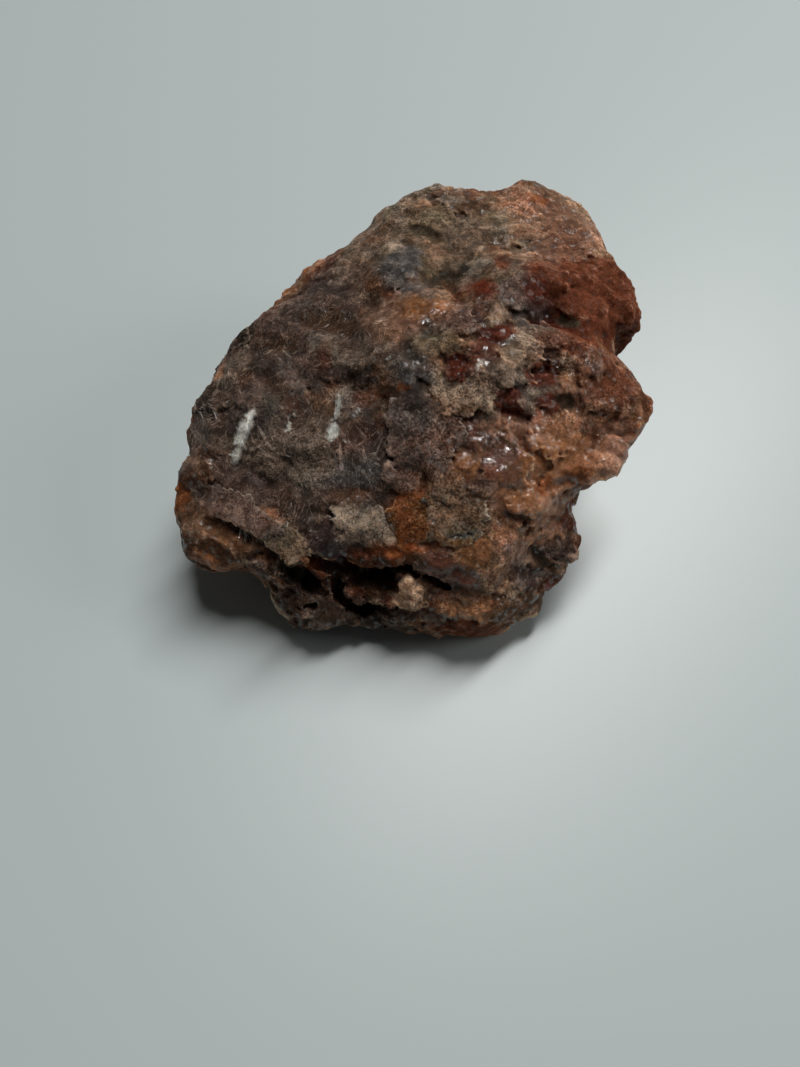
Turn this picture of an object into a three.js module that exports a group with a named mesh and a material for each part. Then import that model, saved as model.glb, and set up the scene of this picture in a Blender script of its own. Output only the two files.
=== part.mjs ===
// A rough hand specimen of halite (rock salt): one intergrown lump of crystals, in millimetres, +Z up.
// It rests on the table plane Z = 0, and its origin is at the bottom centre of its box.
//
// An icosphere is stretched over a smooth broad form that passes through landmarks, and its vertices are
// spread evenly. Crystals with flat faces, lumps and pits are then raised or sunk along the normals.
import * as THREE from "three";
import { ImprovedNoise } from "three/addons/math/ImprovedNoise.js";
import { mergeVertices } from "three/addons/utils/BufferGeometryUtils.js";

const CORE = new THREE.Vector3(0, 0, 20); // the broad form is star-shaped round this point
const SPHERE_DETAIL = 20; // 20 * 21^2 triangles, with edges about 2 mm long
const EVENING_PASSES = 30;
const SURFACE_ROUNDING = 0.08; // how softly the form turns over at a landmark, as a share of the radius

// Landmarks on the surface of the broad form: x, y, z in mm.
const LANDMARKS = {
  backCrest: [[2, 37, 31], [-4, 31.5, 29.5], [-10, 26, 29], [-15, 21.5, 27.5], [-20.5, 16.5, 26],
    [-25, 12.5, 25.5]],
  leftShoulder: [[-29, 9.5, 25], [-32, 2.5, 23.5], [-34.5, -3.5, 22], [-35, -9, 20.5], [-35, -14, 19]],
  leftCorner: [[-36, -19, 16.5], [-36.5, -21.5, 14], [-32.5, -24.5, 11.5]],
  frontLip: [[-30, -19, 19], [-25, -22.5, 19.5], [-20, -27, 19.5], [-15.5, -28.5, 20], [-12, -25, 22],
    [-6, -25.5, 21], [-0.5, -26, 20], [4, -28.5, 18.5], [11, -29, 18.5], [15, -25.5, 20.5]],
  leftUnderside: [[-27, -25, 10.5], [-22, -28.5, 8.5], [-31, -10, 12], [-22, -8, 4], [-28, 4, 14],
    [-18, 4, 5]],
  frontFoot: [[-17, -31, 3], [-11, -31.5, 4.5], [-6, -32, 3], [-1, -32.5, 3], [8, -31, 2.5],
    [16, -31.5, 3.5],
    [20, -29, 6]],
  rightFace: [[22, -26.5, 8.5], [24.5, -22.5, 13], [24.5, -19.5, 16], [24.3, -16.5, 20], [18, -25.5, 15]],
  rightFlange: [[28, -16.5, 24], [31, -14, 25], [33.5, -10.5, 26.5], [35, -6, 28], [31.7, -1.5, 29.5]],
  notch: [[29.5, 2.5, 28.5]],
  flangeUnderside: [[31, -6, 20.5], [26.5, -7, 14], [23, -8, 4]],
  redLobe: [[34, 5.5, 30], [35.5, 9.5, 31], [34.5, 14, 31.5], [32, 18, 31.5]],
  redLobeUnderside: [[33, 11, 23], [28, 10, 14], [23, 8, 3]],
  backRightCrest: [[31.5, 23.5, 30.5], [30.5, 30, 31], [28, 34, 31], [22.5, 37, 31], [12, 37, 30.5]],
  backFace: [[4, 38, 23], [3, 34, 13], [3, 27, 3], [19, 37.5, 22], [17, 30, 11], [29, 28, 21], [23, 24, 9],
    [-13, 25, 20], [-11, 20, 10], [-24, 14, 18], [-17, 13, 8]],
  crown: [[4, 4, 39], [-4.5, -4, 35.5], [6.5, -5, 36.5], [-2, -12.5, 32.5], [5, -14, 32.5],
    [-12, -14.5, 28.5],
    [-24, -10.5, 25], [-16.5, -3.5, 30], [-26, -1, 27], [-8, 8, 34.5], [10.5, 19, 36], [23, 20, 35.5],
    [21, 2, 37.5], [27.5, 5, 35.5], [14.5, -11, 35], [26.5, -11.5, 31], [9.5, -20, 29], [1, -21.5, 26],
    [-9, -20.5, 24.5], [-19.5, -19.5, 22.5], [-24, -16, 22.5], [17.5, -17.5, 30], [0, 23, 35], [-14, 13, 32],
    [22, 29, 34.5]],
  base: [[-14, -25, -1], [10, -26, -1], [19, -14, 1.5], [18, 12, -1.5], [4, 21, 1.5], [-10, 10, -1.5],
    [-14, -8, 1.5], [-1, -12, 2.5], [5, 6, 2.5]],
};

// The hollow under the front lip: a groove along these points, deepest at its middle.
const RECESS = {
  path: [[-19, -28, 13.5], [-11, -29, 14.5], [-3, -29, 14.5], [6, -29, 14]],
  width: 4.2,
  depth: 5,
  endShare: 0.55, // the share of the depth that its two ends keep
};

// Single hollows: where, how far out they reach and how deep, in mm.
const PITS = [
  { name: "left void", at: [-16, -28.5, 14], radius: 5.4, depth: 4 },
  { name: "middle void", at: [-11, -29.5, 10], radius: 4.6, depth: 4 },
  { name: "right void", at: [-6, -31, 8.5], radius: 4.2, depth: 3.5 },
  { name: "crest slot", at: [4, 12, 38], radius: 4.8, depth: 1.8 },
  { name: "crown pit", at: [18, -6, 37], radius: 4.2, depth: 1.8 },
  { name: "dark hollow", at: [20, 4, 38], radius: 6.4, depth: 2.2 },
  { name: "rust pit", at: [24, -8, 33], radius: 4.2, depth: 2 },
  { name: "lobe socket", at: [35, 9, 28], radius: 5.1, depth: 2.4 },
  { name: "lobe notch", at: [30.5, 2.5, 28.5], radius: 4.2, depth: 3 },
  { name: "shoulder notch", at: [-29.5, 7.5, 24.5], radius: 2.6, depth: 1.2 },
  { name: "back hollow", at: [12, 37, 18], radius: 9.6, depth: 3 },
  { name: "back left hollow", at: [-18, 18, 16], radius: 8, depth: 2.5 },
  { name: "foot hollow", at: [26, 14, 8], radius: 8, depth: 2.5 },
];

// Lumps that stand out on their own: where, how far out they reach and how high, in mm.
const KNOBS = [
  { name: "front tooth", at: [0, -29, 11.5], radius: 5.4, height: 2.2 },
  { name: "scalloped ledge", at: [7, -31, 9], radius: 8, height: 1.4 },
  { name: "left foot", at: [-14, -32, 4], radius: 7, height: 1 },
  { name: "right block", at: [25, -22.5, 12], radius: 6, height: 1.2 },
  { name: "flange tip", at: [35, -8, 27], radius: 6, height: 0.8 },
  { name: "red lobe rim", at: [34, 16, 31], radius: 6.8, height: 0.6 },
];

// Intergrown crystals: each patch of the surface is one crystal with its own flat face.
const CRYSTAL_SPACING = 5.5; // the least distance between two crystals' middles
const CRYSTAL_STEP = 0.5; // how far one crystal stands above or below the broad form
const CRYSTAL_TILT = 0.22; // the steepest slope of a crystal's face against the broad form
const CRYSTAL_LIMIT = 1.4; // no face departs further than this from the broad form
const CRYSTAL_SINK = 0.4; // flat faces on a round form stand proud of it, so all are sunk by this much
const LEAST_FACING = 0.5; // a face that turns further from the skin than this is measured as if it didn't

const SWELL_SIZE = 13; // soft swells and dips, from one to the next
const SWELL_HEIGHT = 0.7;

/** Repeatable random numbers from 0 to 1. */
function randomSource(seed) {
  let state = seed;
  return () => {
    state = (Math.imul(state, 1664525) + 1013904223) >>> 0;
    return state / 2 ** 32;
  };
}

/** Solves a square linear system by elimination with pivoting. */
function solve(matrix, values) {
  const size = values.length;
  const rows = matrix.map((row, i) => [...row, values[i]]);
  for (let column = 0; column < size; column++) {
    let best = column;
    for (let i = column + 1; i < size; i++)
      if (Math.abs(rows[i][column]) > Math.abs(rows[best][column])) best = i;
    [rows[column], rows[best]] = [rows[best], rows[column]];
    for (let i = 0; i < size; i++) {
      if (i === column) continue;
      const factor = rows[i][column] / rows[column][column];
      for (let j = column; j <= size; j++) rows[i][j] -= factor * rows[column][j];
    }
  }
  return rows.map((row, i) => row[size] / row[i]);
}

/** The broad form: a function that moves a point along its ray from the core onto the form. */
function makeBroadForm(landmarks) {
  const reaches = landmarks.map((point) => point.distanceTo(CORE));
  const directions = landmarks.map((point) => point.clone().sub(CORE).normalize());
  const bend = (a, b) => Math.hypot(a.distanceTo(b), SURFACE_ROUNDING);
  const matrix = directions.map((a) => [...directions.map((b) => bend(a, b)), 1]);
  matrix.push([...directions.map(() => 1), 0]);
  const weights = solve(matrix, [...reaches, 0]);
  const mean = weights[directions.length];
  return (point) => {
    const direction = point.sub(CORE).normalize();
    const reach = directions.reduce((sum, d, i) => sum + weights[i] * bend(direction, d), mean);
    return point.copy(direction).multiplyScalar(reach).add(CORE);
  };
}

/** Each vertex's neighbours in an indexed geometry. */
function neighboursOf(geometry) {
  const neighbours = Array.from({ length: geometry.getAttribute("position").count }, () => new Set());
  const index = geometry.index.array;
  for (let i = 0; i < index.length; i += 3)
    for (let j = 0; j < 3; j++) {
      const a = index[i + j];
      const b = index[i + ((j + 1) % 3)];
      neighbours[a].add(b);
      neighbours[b].add(a);
    }
  return neighbours;
}

/** An icosphere stretched over the broad form, with its vertices spread evenly. */
function makeSkin(ontoForm) {
  const sphere = new THREE.IcosahedronGeometry(1, SPHERE_DETAIL);
  sphere.deleteAttribute("normal");
  sphere.deleteAttribute("uv");
  const geometry = mergeVertices(sphere, 1e-5);
  const position = geometry.getAttribute("position");
  const neighbours = neighboursOf(geometry);
  const vertexAt = (i) => new THREE.Vector3().fromBufferAttribute(position, i);
  let points = neighbours.map((_, i) => ontoForm(vertexAt(i).add(CORE)));
  for (let pass = 0; pass < EVENING_PASSES; pass++)
    points = points.map((_, i) => {
      const middle = new THREE.Vector3();
      for (const n of neighbours[i]) middle.add(points[n]);
      return ontoForm(middle.divideScalar(neighbours[i].size));
    });
  points.forEach((point, i) => position.setXYZ(i, point.x, point.y, point.z));
  geometry.computeVertexNormals();
  return { geometry, points };
}

/** Crystals scattered over the skin, no two closer than the spacing, each with a flat face of its own. */
function makeCrystals(points, normals) {
  const random = randomSource(7);
  const order = points.map((_, i) => ({ i, key: random() })).sort((a, b) => a.key - b.key);
  const crystals = [];
  for (const { i } of order) {
    if (crystals.some((crystal) => crystal.middle.distanceTo(points[i]) < CRYSTAL_SPACING)) continue;
    const tilt = new THREE.Vector3(random() - 0.5, random() - 0.5, random() - 0.5);
    const face = normals[i].clone().addScaledVector(tilt, 2 * CRYSTAL_TILT).normalize();
    crystals.push({ middle: points[i], face, height: (2 * random() - 1) * CRYSTAL_STEP });
  }
  return crystals;
}

/** How far out of the skin the flat face of the nearest crystal lies. */
function crystalRelief(crystals, point, normal) {
  let owner = crystals[0];
  for (const crystal of crystals)
    if (crystal.middle.distanceToSquared(point) < owner.middle.distanceToSquared(point)) owner = crystal;
  const facing = Math.max(normal.dot(owner.face), LEAST_FACING);
  const toFace = owner.middle.clone().sub(point).dot(owner.face) / facing;
  return THREE.MathUtils.clamp(toFace + owner.height - CRYSTAL_SINK, -CRYSTAL_LIMIT, CRYSTAL_LIMIT);
}

/** A bell from 1 at the middle to 0 at the radius. */
function bell(distance, radius) {
  const share = Math.min(distance / radius, 1);
  return (1 - share * share) ** 2;
}

/** How deep the groove under the lip is at a point. */
function recessDepth(point, path) {
  const onPath = new THREE.Vector3();
  let nearest = Infinity;
  let along = 0;
  for (let i = 0; i < path.length - 1; i++) {
    const segment = new THREE.Line3(path[i], path[i + 1]);
    const share = segment.closestPointToPointParameter(point, true);
    const distance = segment.at(share, onPath).distanceTo(point);
    if (distance < nearest) {
      nearest = distance;
      along = (i + share) / (path.length - 1);
    }
  }
  const taper = RECESS.endShare + (1 - RECESS.endShare) * Math.sin(Math.PI * along);
  return RECESS.depth * taper * bell(nearest, RECESS.width);
}

/** The relief over the broad form: a function of a point on the skin and its normal. */
function makeRelief(points, normals) {
  const toVector = (xyz) => new THREE.Vector3(...xyz);
  const crystals = makeCrystals(points, normals);
  const noise = new ImprovedNoise();
  const path = RECESS.path.map(toVector);
  const pits = PITS.map((pit) => ({ ...pit, middle: toVector(pit.at) }));
  const knobs = KNOBS.map((knob) => ({ ...knob, middle: toVector(knob.at) }));
  return (point, normal) => {
    const swell = noise.noise(point.x / SWELL_SIZE, point.y / SWELL_SIZE, point.z / SWELL_SIZE);
    let height = crystalRelief(crystals, point, normal) + 2 * SWELL_HEIGHT * swell;
    height -= recessDepth(point, path);
    for (const pit of pits) height -= pit.depth * bell(point.distanceTo(pit.middle), pit.radius);
    for (const knob of knobs) height += knob.height * bell(point.distanceTo(knob.middle), knob.radius);
    return height;
  };
}

/** Brings a vertex that stands above or below all its neighbours back level with the nearest of them. */
function trimSpikes(heights, neighbours) {
  return heights.map((height, i) => {
    const around = [...neighbours[i]].map((n) => heights[n]);
    return THREE.MathUtils.clamp(height, Math.min(...around), Math.max(...around));
  });
}

/** Pulls a point below the table back along its ray to the table, so that the lump rests on flat faces. */
function standOnTable(point) {
  if (point.z > 0) return point;
  const share = CORE.z / (CORE.z - point.z);
  point.sub(CORE).multiplyScalar(share).add(CORE);
  point.z = 0;
  return point;
}

/** The lump's outside as one closed geometry, centred over the origin. */
function makeLumpGeometry() {
  const ontoForm = makeBroadForm(Object.values(LANDMARKS).flat().map((xyz) => new THREE.Vector3(...xyz)));
  const { geometry, points } = makeSkin(ontoForm);
  const normal = geometry.getAttribute("normal");
  const normals = points.map((_, i) => new THREE.Vector3().fromBufferAttribute(normal, i));
  const relief = makeRelief(points, normals);
  const position = geometry.getAttribute("position");
  const heights = trimSpikes(points.map((point, i) => relief(point, normals[i])), neighboursOf(geometry));
  points.forEach((point, i) => {
    const raised = standOnTable(point.clone().addScaledVector(normals[i], heights[i]));
    position.setXYZ(i, raised.x, raised.y, raised.z);
  });
  geometry.computeBoundingBox();
  const middle = geometry.boundingBox.getCenter(new THREE.Vector3());
  geometry.translate(-middle.x, -middle.y, 0);
  geometry.computeVertexNormals();
  return geometry;
}

/** The whole specimen. */
function makeSpecimen() {
  const material = new THREE.MeshStandardMaterial({ color: 0x8a7263, roughness: 0.6, metalness: 0 });
  const lump = new THREE.Mesh(makeLumpGeometry(), material);
  lump.name = "halite_crystal";
  const specimen = new THREE.Group();
  specimen.add(lump);
  return specimen;
}

export default makeSpecimen();
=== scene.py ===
"""A lump of halite on a pale table: its fine surface, its materials, the light and the camera.

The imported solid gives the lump's form. A distance field is made from it, and recesses, plates, crystals and
grains are carved into it and grown on it. The new surface is taken from the field. The colour of the salt and
how much frost, gloss and clearness it has are worked out on the surface's points, and the material's nodes
read them there. Lengths are in millimetres until a mesh is made.
"""
import math
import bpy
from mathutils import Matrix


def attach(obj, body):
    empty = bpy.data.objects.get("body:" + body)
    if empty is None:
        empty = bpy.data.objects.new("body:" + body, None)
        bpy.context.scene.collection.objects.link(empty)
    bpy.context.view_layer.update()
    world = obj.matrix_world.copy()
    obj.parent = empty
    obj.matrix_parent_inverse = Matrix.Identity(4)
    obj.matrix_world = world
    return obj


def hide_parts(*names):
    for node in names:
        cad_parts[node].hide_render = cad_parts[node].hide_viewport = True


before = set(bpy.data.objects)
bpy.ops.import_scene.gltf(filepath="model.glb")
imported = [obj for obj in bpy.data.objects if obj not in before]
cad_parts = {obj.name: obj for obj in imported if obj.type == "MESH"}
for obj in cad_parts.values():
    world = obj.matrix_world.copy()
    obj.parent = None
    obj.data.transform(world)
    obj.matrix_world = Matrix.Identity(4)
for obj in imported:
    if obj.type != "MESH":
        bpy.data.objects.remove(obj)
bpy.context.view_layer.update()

from copy import copy

import bpy
import numpy as np
import openvdb
from mathutils import Matrix, Vector
from mathutils.bvhtree import BVHTree
from mathutils.kdtree import KDTree

NODE = "halite_crystal"
BODY = "root"
MM = 0.001  # metres in a millimetre

# ---------------------------------------------------------------------------------------------------------
# The camera, which pixels of the 800 x 1067 photograph's frame are measured with
# ---------------------------------------------------------------------------------------------------------
FRAME_SIZE = (800, 1067)
FOCAL_PIXELS = 801.0
PITCH = math.radians(62.0)  # how far the camera looks down from the horizon
TARGET = np.array([0.516, -2.759, 18.0])  # a point in the lump that shows at TARGET_PIXEL
TARGET_PIXEL = (411, 411)
TARGET_DISTANCE = 132.0
SENSOR = 36.0

RIGHT = np.array([1.0, 0.0, 0.0])
UP = np.array([0.0, math.sin(PITCH), math.cos(PITCH)])
FORWARD = np.array([0.0, math.cos(PITCH), -math.sin(PITCH)])


def pixel_ray(u, v):
    """The unit direction in which the camera sees a pixel."""
    across = RIGHT * (u - FRAME_SIZE[0] / 2) / FOCAL_PIXELS
    down = UP * (v - FRAME_SIZE[1] / 2) / FOCAL_PIXELS
    ray = FORWARD + across - down
    return ray / np.linalg.norm(ray)


EYE = TARGET - TARGET_DISTANCE * pixel_ray(*TARGET_PIXEL)


def project(points):
    """The pixel at which each point shows, and how far off it is in mm."""
    offset = points - EYE
    depth = offset @ FORWARD
    u = FRAME_SIZE[0] / 2 + FOCAL_PIXELS * (offset @ RIGHT) / depth
    v = FRAME_SIZE[1] / 2 - FOCAL_PIXELS * (offset @ UP) / depth
    return np.stack([u, v, depth], 1).astype(np.float32)


def add_camera():
    data = bpy.data.cameras.new("camera")
    data.sensor_width = SENSOR
    data.lens = FOCAL_PIXELS / max(FRAME_SIZE) * SENSOR
    data.clip_start = 0.005
    data.clip_end = 20
    camera = bpy.data.objects.new("camera", data)
    turn = Matrix([RIGHT, UP, -FORWARD]).transposed()
    camera.matrix_world = Matrix.Translation(Vector(EYE * MM)) @ turn.to_4x4()
    bpy.context.scene.collection.objects.link(camera)
    bpy.context.scene.camera = camera


# ---------------------------------------------------------------------------------------------------------
# Repeatable noise on arrays of points
# ---------------------------------------------------------------------------------------------------------
def lattice_hash(x, y, z, seed):
    """A repeatable 32-bit number for each whole lattice point."""
    h = (x.astype(np.uint32) * np.uint32(0x8DA6B343)) ^ (y.astype(np.uint32) * np.uint32(0xD8163841))
    h ^= (z.astype(np.uint32) * np.uint32(0xCB1AB31F)) + np.uint32((seed * 2654435761) & 0xFFFFFFFF)
    h ^= h >> np.uint32(15)
    h *= np.uint32(0x2C1B3C6D)
    h ^= h >> np.uint32(12)
    h *= np.uint32(0x297A2D39)
    h ^= h >> np.uint32(15)
    return h


def share(h, turn=0):
    """A number from 0 to 1 out of a hash. Each turn gives another one."""
    mixed = h * np.uint32(0x9E3779B1 + 2 * turn) + np.uint32(turn * 0x85EBCA6B & 0xFFFFFFFF)
    mixed ^= mixed >> np.uint32(16)
    return (mixed & np.uint32(0xFFFFFF)).astype(np.float32) / np.float32(0xFFFFFF)


def smooth_noise(points, size, seed):
    """Noise from -1 to 1 that changes over size."""
    scaled = points / np.float32(size)
    cell = np.floor(scaled)
    part = scaled - cell
    part = part * part * (3 - 2 * part)
    x, y, z = cell.astype(np.int32).T
    total = np.zeros(len(points), np.float32)
    for corner in range(8):
        dx, dy, dz = corner & 1, corner >> 1 & 1, corner >> 2
        weight = 1.0
        for axis, step in enumerate((dx, dy, dz)):
            weight = weight * (part[:, axis] if step else 1 - part[:, axis])
        total += weight * share(lattice_hash(x + dx, y + dy, z + dz, seed))
    return 2 * total - 1


def fractal(points, size, seed, octaves=3, gain=0.5):
    """Several sizes of noise together, still about -1 to 1."""
    total = np.zeros(len(points), np.float32)
    height, reach = 1.0, 0.0
    for octave in range(octaves):
        total += height * smooth_noise(points, size / 2**octave, seed + octave)
        reach += height
        height *= gain
    return total / reach


def cells(points, size, seed):
    """Crystals scattered about size apart, seen from each point.

    Gives how far the middles of the nearest two are, the way from the nearest one and its hash. Lengths are
    shares of size.
    """
    scaled = (points / np.float32(size)).astype(np.float32)
    base = np.floor(scaled).astype(np.int32)
    first = np.full(len(points), np.inf, np.float32)
    second = first.copy()
    owner = np.zeros(len(points), np.uint32)
    away = np.zeros_like(scaled)
    for step in np.ndindex(3, 3, 3):
        x, y, z = (base + np.array(step, np.int32) - 1).T
        h = lattice_hash(x, y, z, seed)
        middle = np.stack([x + share(h, 1), y + share(h, 2), z + share(h, 3)], 1)
        offset = scaled - middle
        distance = np.einsum("ij,ij->i", offset, offset)
        nearer = distance < first
        second = np.where(nearer, first, np.minimum(second, distance))
        first = np.where(nearer, distance, first)
        owner = np.where(nearer, h, owner)
        away[nearer] = offset[nearer]
    return np.sqrt(first), np.sqrt(second), away, owner


def fade(value, low, high):
    """0 below low, 1 above high, smooth between."""
    t = np.clip((value - low) / (high - low), 0, 1)
    return t * t * (3 - 2 * t)


# ---------------------------------------------------------------------------------------------------------
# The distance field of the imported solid
# ---------------------------------------------------------------------------------------------------------
VOXEL = 0.33
BAND = 4.0  # how far from the surface the field is known
MARGIN = 6  # spare voxels round the lump
ROUNDING = 0.55  # how far the solid's facets are smoothed out


def mesh_arrays(mesh):
    """A mesh's points in mm and its triangles."""
    mesh.calc_loop_triangles()
    points = np.empty(len(mesh.vertices) * 3, np.float32)
    mesh.vertices.foreach_get("co", points)
    triangles = np.empty(len(mesh.loop_triangles) * 3, np.int32)
    mesh.loop_triangles.foreach_get("vertices", triangles)
    return points.reshape(-1, 3) / MM, triangles.reshape(-1, 3)


def blurred(values, reach):
    """The array smoothed over reach in mm, by three box blurs along each axis."""
    half = max(int(round(reach / VOXEL)), 1)
    for axis in range(3):
        for _ in range(3):
            padded = np.concatenate([np.take(values, [0] * (half + 1), axis), values,
                                     np.take(values, [-1] * half, axis)], axis)
            total = np.cumsum(padded, axis, dtype=np.float64)
            count = values.shape[axis]
            high = np.take(total, np.arange(2 * half + 1, 2 * half + 1 + count), axis)
            low = np.take(total, np.arange(count), axis)
            values = ((high - low) / (2 * half + 1)).astype(np.float32)
    return values


def face_facts(points, triangles):
    """The area, middle and normal of each face."""
    a, b, c = (points[triangles[:, i]] for i in range(3))
    cross = np.cross(b - a, c - a)
    length = np.linalg.norm(cross, axis=1)
    return length / 2, (a + b + c) / 3, cross / np.maximum(length, 1e-9)[:, None]


def edges(triangles):
    """The points at the two ends of every edge."""
    return triangles.ravel(), triangles[:, [1, 2, 0]].ravel()


class Field:
    """Distances from the surface on a grid, below 0 inside."""

    def __init__(self, points, triangles):
        transform = openvdb.createLinearTransform(VOXEL)
        grid = openvdb.FloatGrid.createLevelSetFromPolygons(
            points, triangles=triangles.astype(np.uint32), transform=transform, halfWidth=BAND / VOXEL)
        self.low = np.floor(points.min(0) / VOXEL).astype(int) - MARGIN
        high = np.ceil(points.max(0) / VOXEL).astype(int) + MARGIN
        self.values = np.empty(tuple(high - self.low), np.float32)
        grid.copyToArray(self.values, ijk=tuple(int(i) for i in self.low))

    def copy(self):
        twin = copy(self)
        twin.values = self.values.copy()
        return twin

    def near(self, reach):
        """The indices of the grid points within reach of the surface, and their places."""
        index = np.nonzero(np.abs(self.values) < reach)
        points = (np.stack(index, 1) + self.low).astype(np.float32) * np.float32(VOXEL)
        return index, points

    def around(self, middle, reach):
        """The slices of the grid within reach of a point, and the places there."""
        first = np.maximum(np.floor((middle - reach) / VOXEL).astype(int) - self.low, 0)
        last = np.minimum(np.ceil((middle + reach) / VOXEL).astype(int) - self.low, self.values.shape)
        box = tuple(slice(a, b) for a, b in zip(first, last))
        axes = [(np.arange(a, b) + c) * VOXEL for a, b, c in zip(first, last, self.low)]
        places = np.stack(np.meshgrid(*axes, indexing="ij"), -1).reshape(-1, 3).astype(np.float32)
        return box, places

    def sample(self, values, points):
        """Values read off a grid of this size at any points."""
        scaled = points / VOXEL - self.low
        cell = np.clip(np.floor(scaled).astype(int), 0, np.array(values.shape) - 2)
        part = (scaled - cell).astype(np.float32)
        total = 0.0
        for corner in np.ndindex(2, 2, 2):
            weight = np.prod([part[:, a] if corner[a] else 1 - part[:, a] for a in range(3)], axis=0)
            total = total + weight * values[tuple((cell + corner).T)]
        return total

    def surface(self):
        """The field's zero surface as points and triangles."""
        grid = openvdb.FloatGrid()
        grid.background = float(self.values.max())
        grid.transform = openvdb.createLinearTransform(VOXEL)
        grid.copyFromArray(self.values, ijk=tuple(int(i) for i in self.low))
        points, triangles, quads = grid.convertToPolygons(isovalue=0.0, adaptivity=0.0)
        faces = np.concatenate([triangles, quads[:, [0, 1, 2]], quads[:, [0, 2, 3]]])
        return points, faces[:, ::-1]


# ---------------------------------------------------------------------------------------------------------
# Places on the lump, found by the pixels where they show
# ---------------------------------------------------------------------------------------------------------
cad_points, cad_triangles = mesh_arrays(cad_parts[NODE].data)
cad_tree = BVHTree.FromPolygons(cad_points.tolist(), cad_triangles.tolist())
cad_faces = face_facts(cad_points, cad_triangles)

DOWN = np.array([0.0, -0.9, -0.45])  # the way that plates hang
LEAST_SLOPE = 0.26  # cosine of the steepest angle at which a patch is still laid on the surface


def seen_at(u, v):
    """The place and normal of the solid at a pixel, or the nearest ones to the ray where it misses."""
    ray = Vector(pixel_ray(u, v))
    place, normal, _, _ = cad_tree.ray_cast(Vector(EYE), ray)
    if place is None:
        past = Vector(EYE) + ray * TARGET_DISTANCE
        place, normal, _, _ = cad_tree.find_nearest(past)
    return np.array(place), np.array(normal)


def across_at(place, normal, u, v):
    """Where the ray of a pixel meets the plane through a place."""
    ray = pixel_ray(u, v)
    slope = min(ray @ normal, -LEAST_SLOPE)
    return EYE + ray * (((place - EYE) @ normal) / slope)


class Spot:
    """An oval patch of the surface, given by its middle, its normal and its two half axes."""

    def __init__(self, place, normal, a, b):
        self.place, self.normal = place, normal
        self.axes = np.stack([a, b])
        self.reach = max(np.linalg.norm(a), np.linalg.norm(b))
        self.inverse = np.linalg.inv(np.stack([a, b, normal * self.reach], 1)).astype(np.float32)

    def across(self, points):
        """Places measured in half axes from the middle."""
        return (points - self.place.astype(np.float32)) @ self.inverse.T

    def distance(self, points):
        """0 at the middle and 1 at the edge."""
        return np.linalg.norm(self.across(points), axis=1)


def spot_at(u, v, wide, high, turn=0.0):
    """The spot that shows round a pixel, with half its width and height in pixels and a turn in degrees."""
    place, normal = seen_at(u, v)
    cos, sin = math.cos(math.radians(turn)), math.sin(math.radians(turn))
    a = across_at(place, normal, u + wide * cos, v + wide * sin) - place
    b = across_at(place, normal, u - high * sin, v + high * cos) - place
    return Spot(place, normal, a, b)


PATCH_DEPTH = 4.0  # how far behind or in front of the solid a patch still reaches, in mm
PATCH_DEPTH_RISE = 0.2  # and how much more for each pixel of its half width


def patch_distance(seen, u, v, wide, high, turn=0.0):
    """0 at the middle of an oval patch of pixels and 1 at its edge, for projected points."""
    cos, sin = math.cos(math.radians(turn)), math.sin(math.radians(turn))
    across, down = seen[:, 0] - u, seen[:, 1] - v
    depth = (seen_at(u, v)[0] - EYE) @ FORWARD
    depth_reach = PATCH_DEPTH + PATCH_DEPTH_RISE * max(wide, high)
    a = (across * cos + down * sin) / wide
    b = (down * cos - across * sin) / high
    return np.sqrt(a * a + b * b + ((seen[:, 2] - depth) / depth_reach) ** 2)


def spot_on(place, normal, wide, high):
    """A spot with its half axes in mm, the second one down the slope."""
    side = np.cross(normal, DOWN)
    side /= np.linalg.norm(side)
    return Spot(place, normal, side * wide, np.cross(side, normal) * high)


# ---------------------------------------------------------------------------------------------------------
# Carving and growing
# ---------------------------------------------------------------------------------------------------------
# Trenches under the front lip: the pixels along each with the radius there in mm, and how far it lies behind
# the surface, in mm.
TRENCHES = [
    ([((300, 553), 0.8), ((318, 560), 1.6), ((340, 565), 2.0), ((362, 568), 2.1), ((384, 569), 2.0),
      ((400, 571), 1.7), ((420, 572), 1.2)], 1.1),
    ([((284, 566), 1.0), ((296, 573), 2.0), ((312, 582), 1.8), ((326, 590), 1.0)], 0.9),
    ([((336, 574), 1.2), ((341, 590), 1.6), ((346, 602), 1.0)], 0.8),
    ([((350, 604), 1.0), ((366, 609), 1.2), ((384, 609), 1.1), ((396, 604), 0.8)], 0.5),
    ([((428, 574), 0.9), ((440, 580), 1.1), ((452, 588), 0.9)], 0.6),
    ([((404, 566), 1.1), ((418, 560), 0.9)], 0.9), ([((300, 606), 0.8), ((312, 604), 0.8)], 0.3),
    ([((244, 566), 0.5), ((262, 576), 0.9), ((276, 590), 0.6)], 0.3),
    ([((206, 522), 1.4), ((226, 532), 2.2), ((246, 546), 2.4), ((264, 558), 2.2), ((280, 570), 1.2)], -1.2),
]
TRENCH_RAGGED = 0.5  # share of a trench's radius
TRENCH_SEED = 200

# Lumps that stand out: pixel, radius and how far in front of the surface the middle is, in mm.
LUMPS = [
    ((401, 575), 1.1, 0.4), ((408, 584), 1.6, 0.56), ((404, 596), 1.0, 0.56), ((416, 593), 1.3, 0.48),
    ((412, 603), 0.9, 0.4), ((603, 463), 2.6, 0.24), ((590, 470), 2.2, 0.16), ((612, 452), 2.4, 0.16),
    ((350, 590), 1.3, 0.0), ((306, 612), 1.8, -0.72), ((330, 614), 1.6, -0.72), ((352, 618), 1.4, -0.6),
    ((558, 566), 1.6, 0.12), ((570, 556), 1.3, 0.08), ((392, 560), 1.3, 0.24),
]

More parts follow.
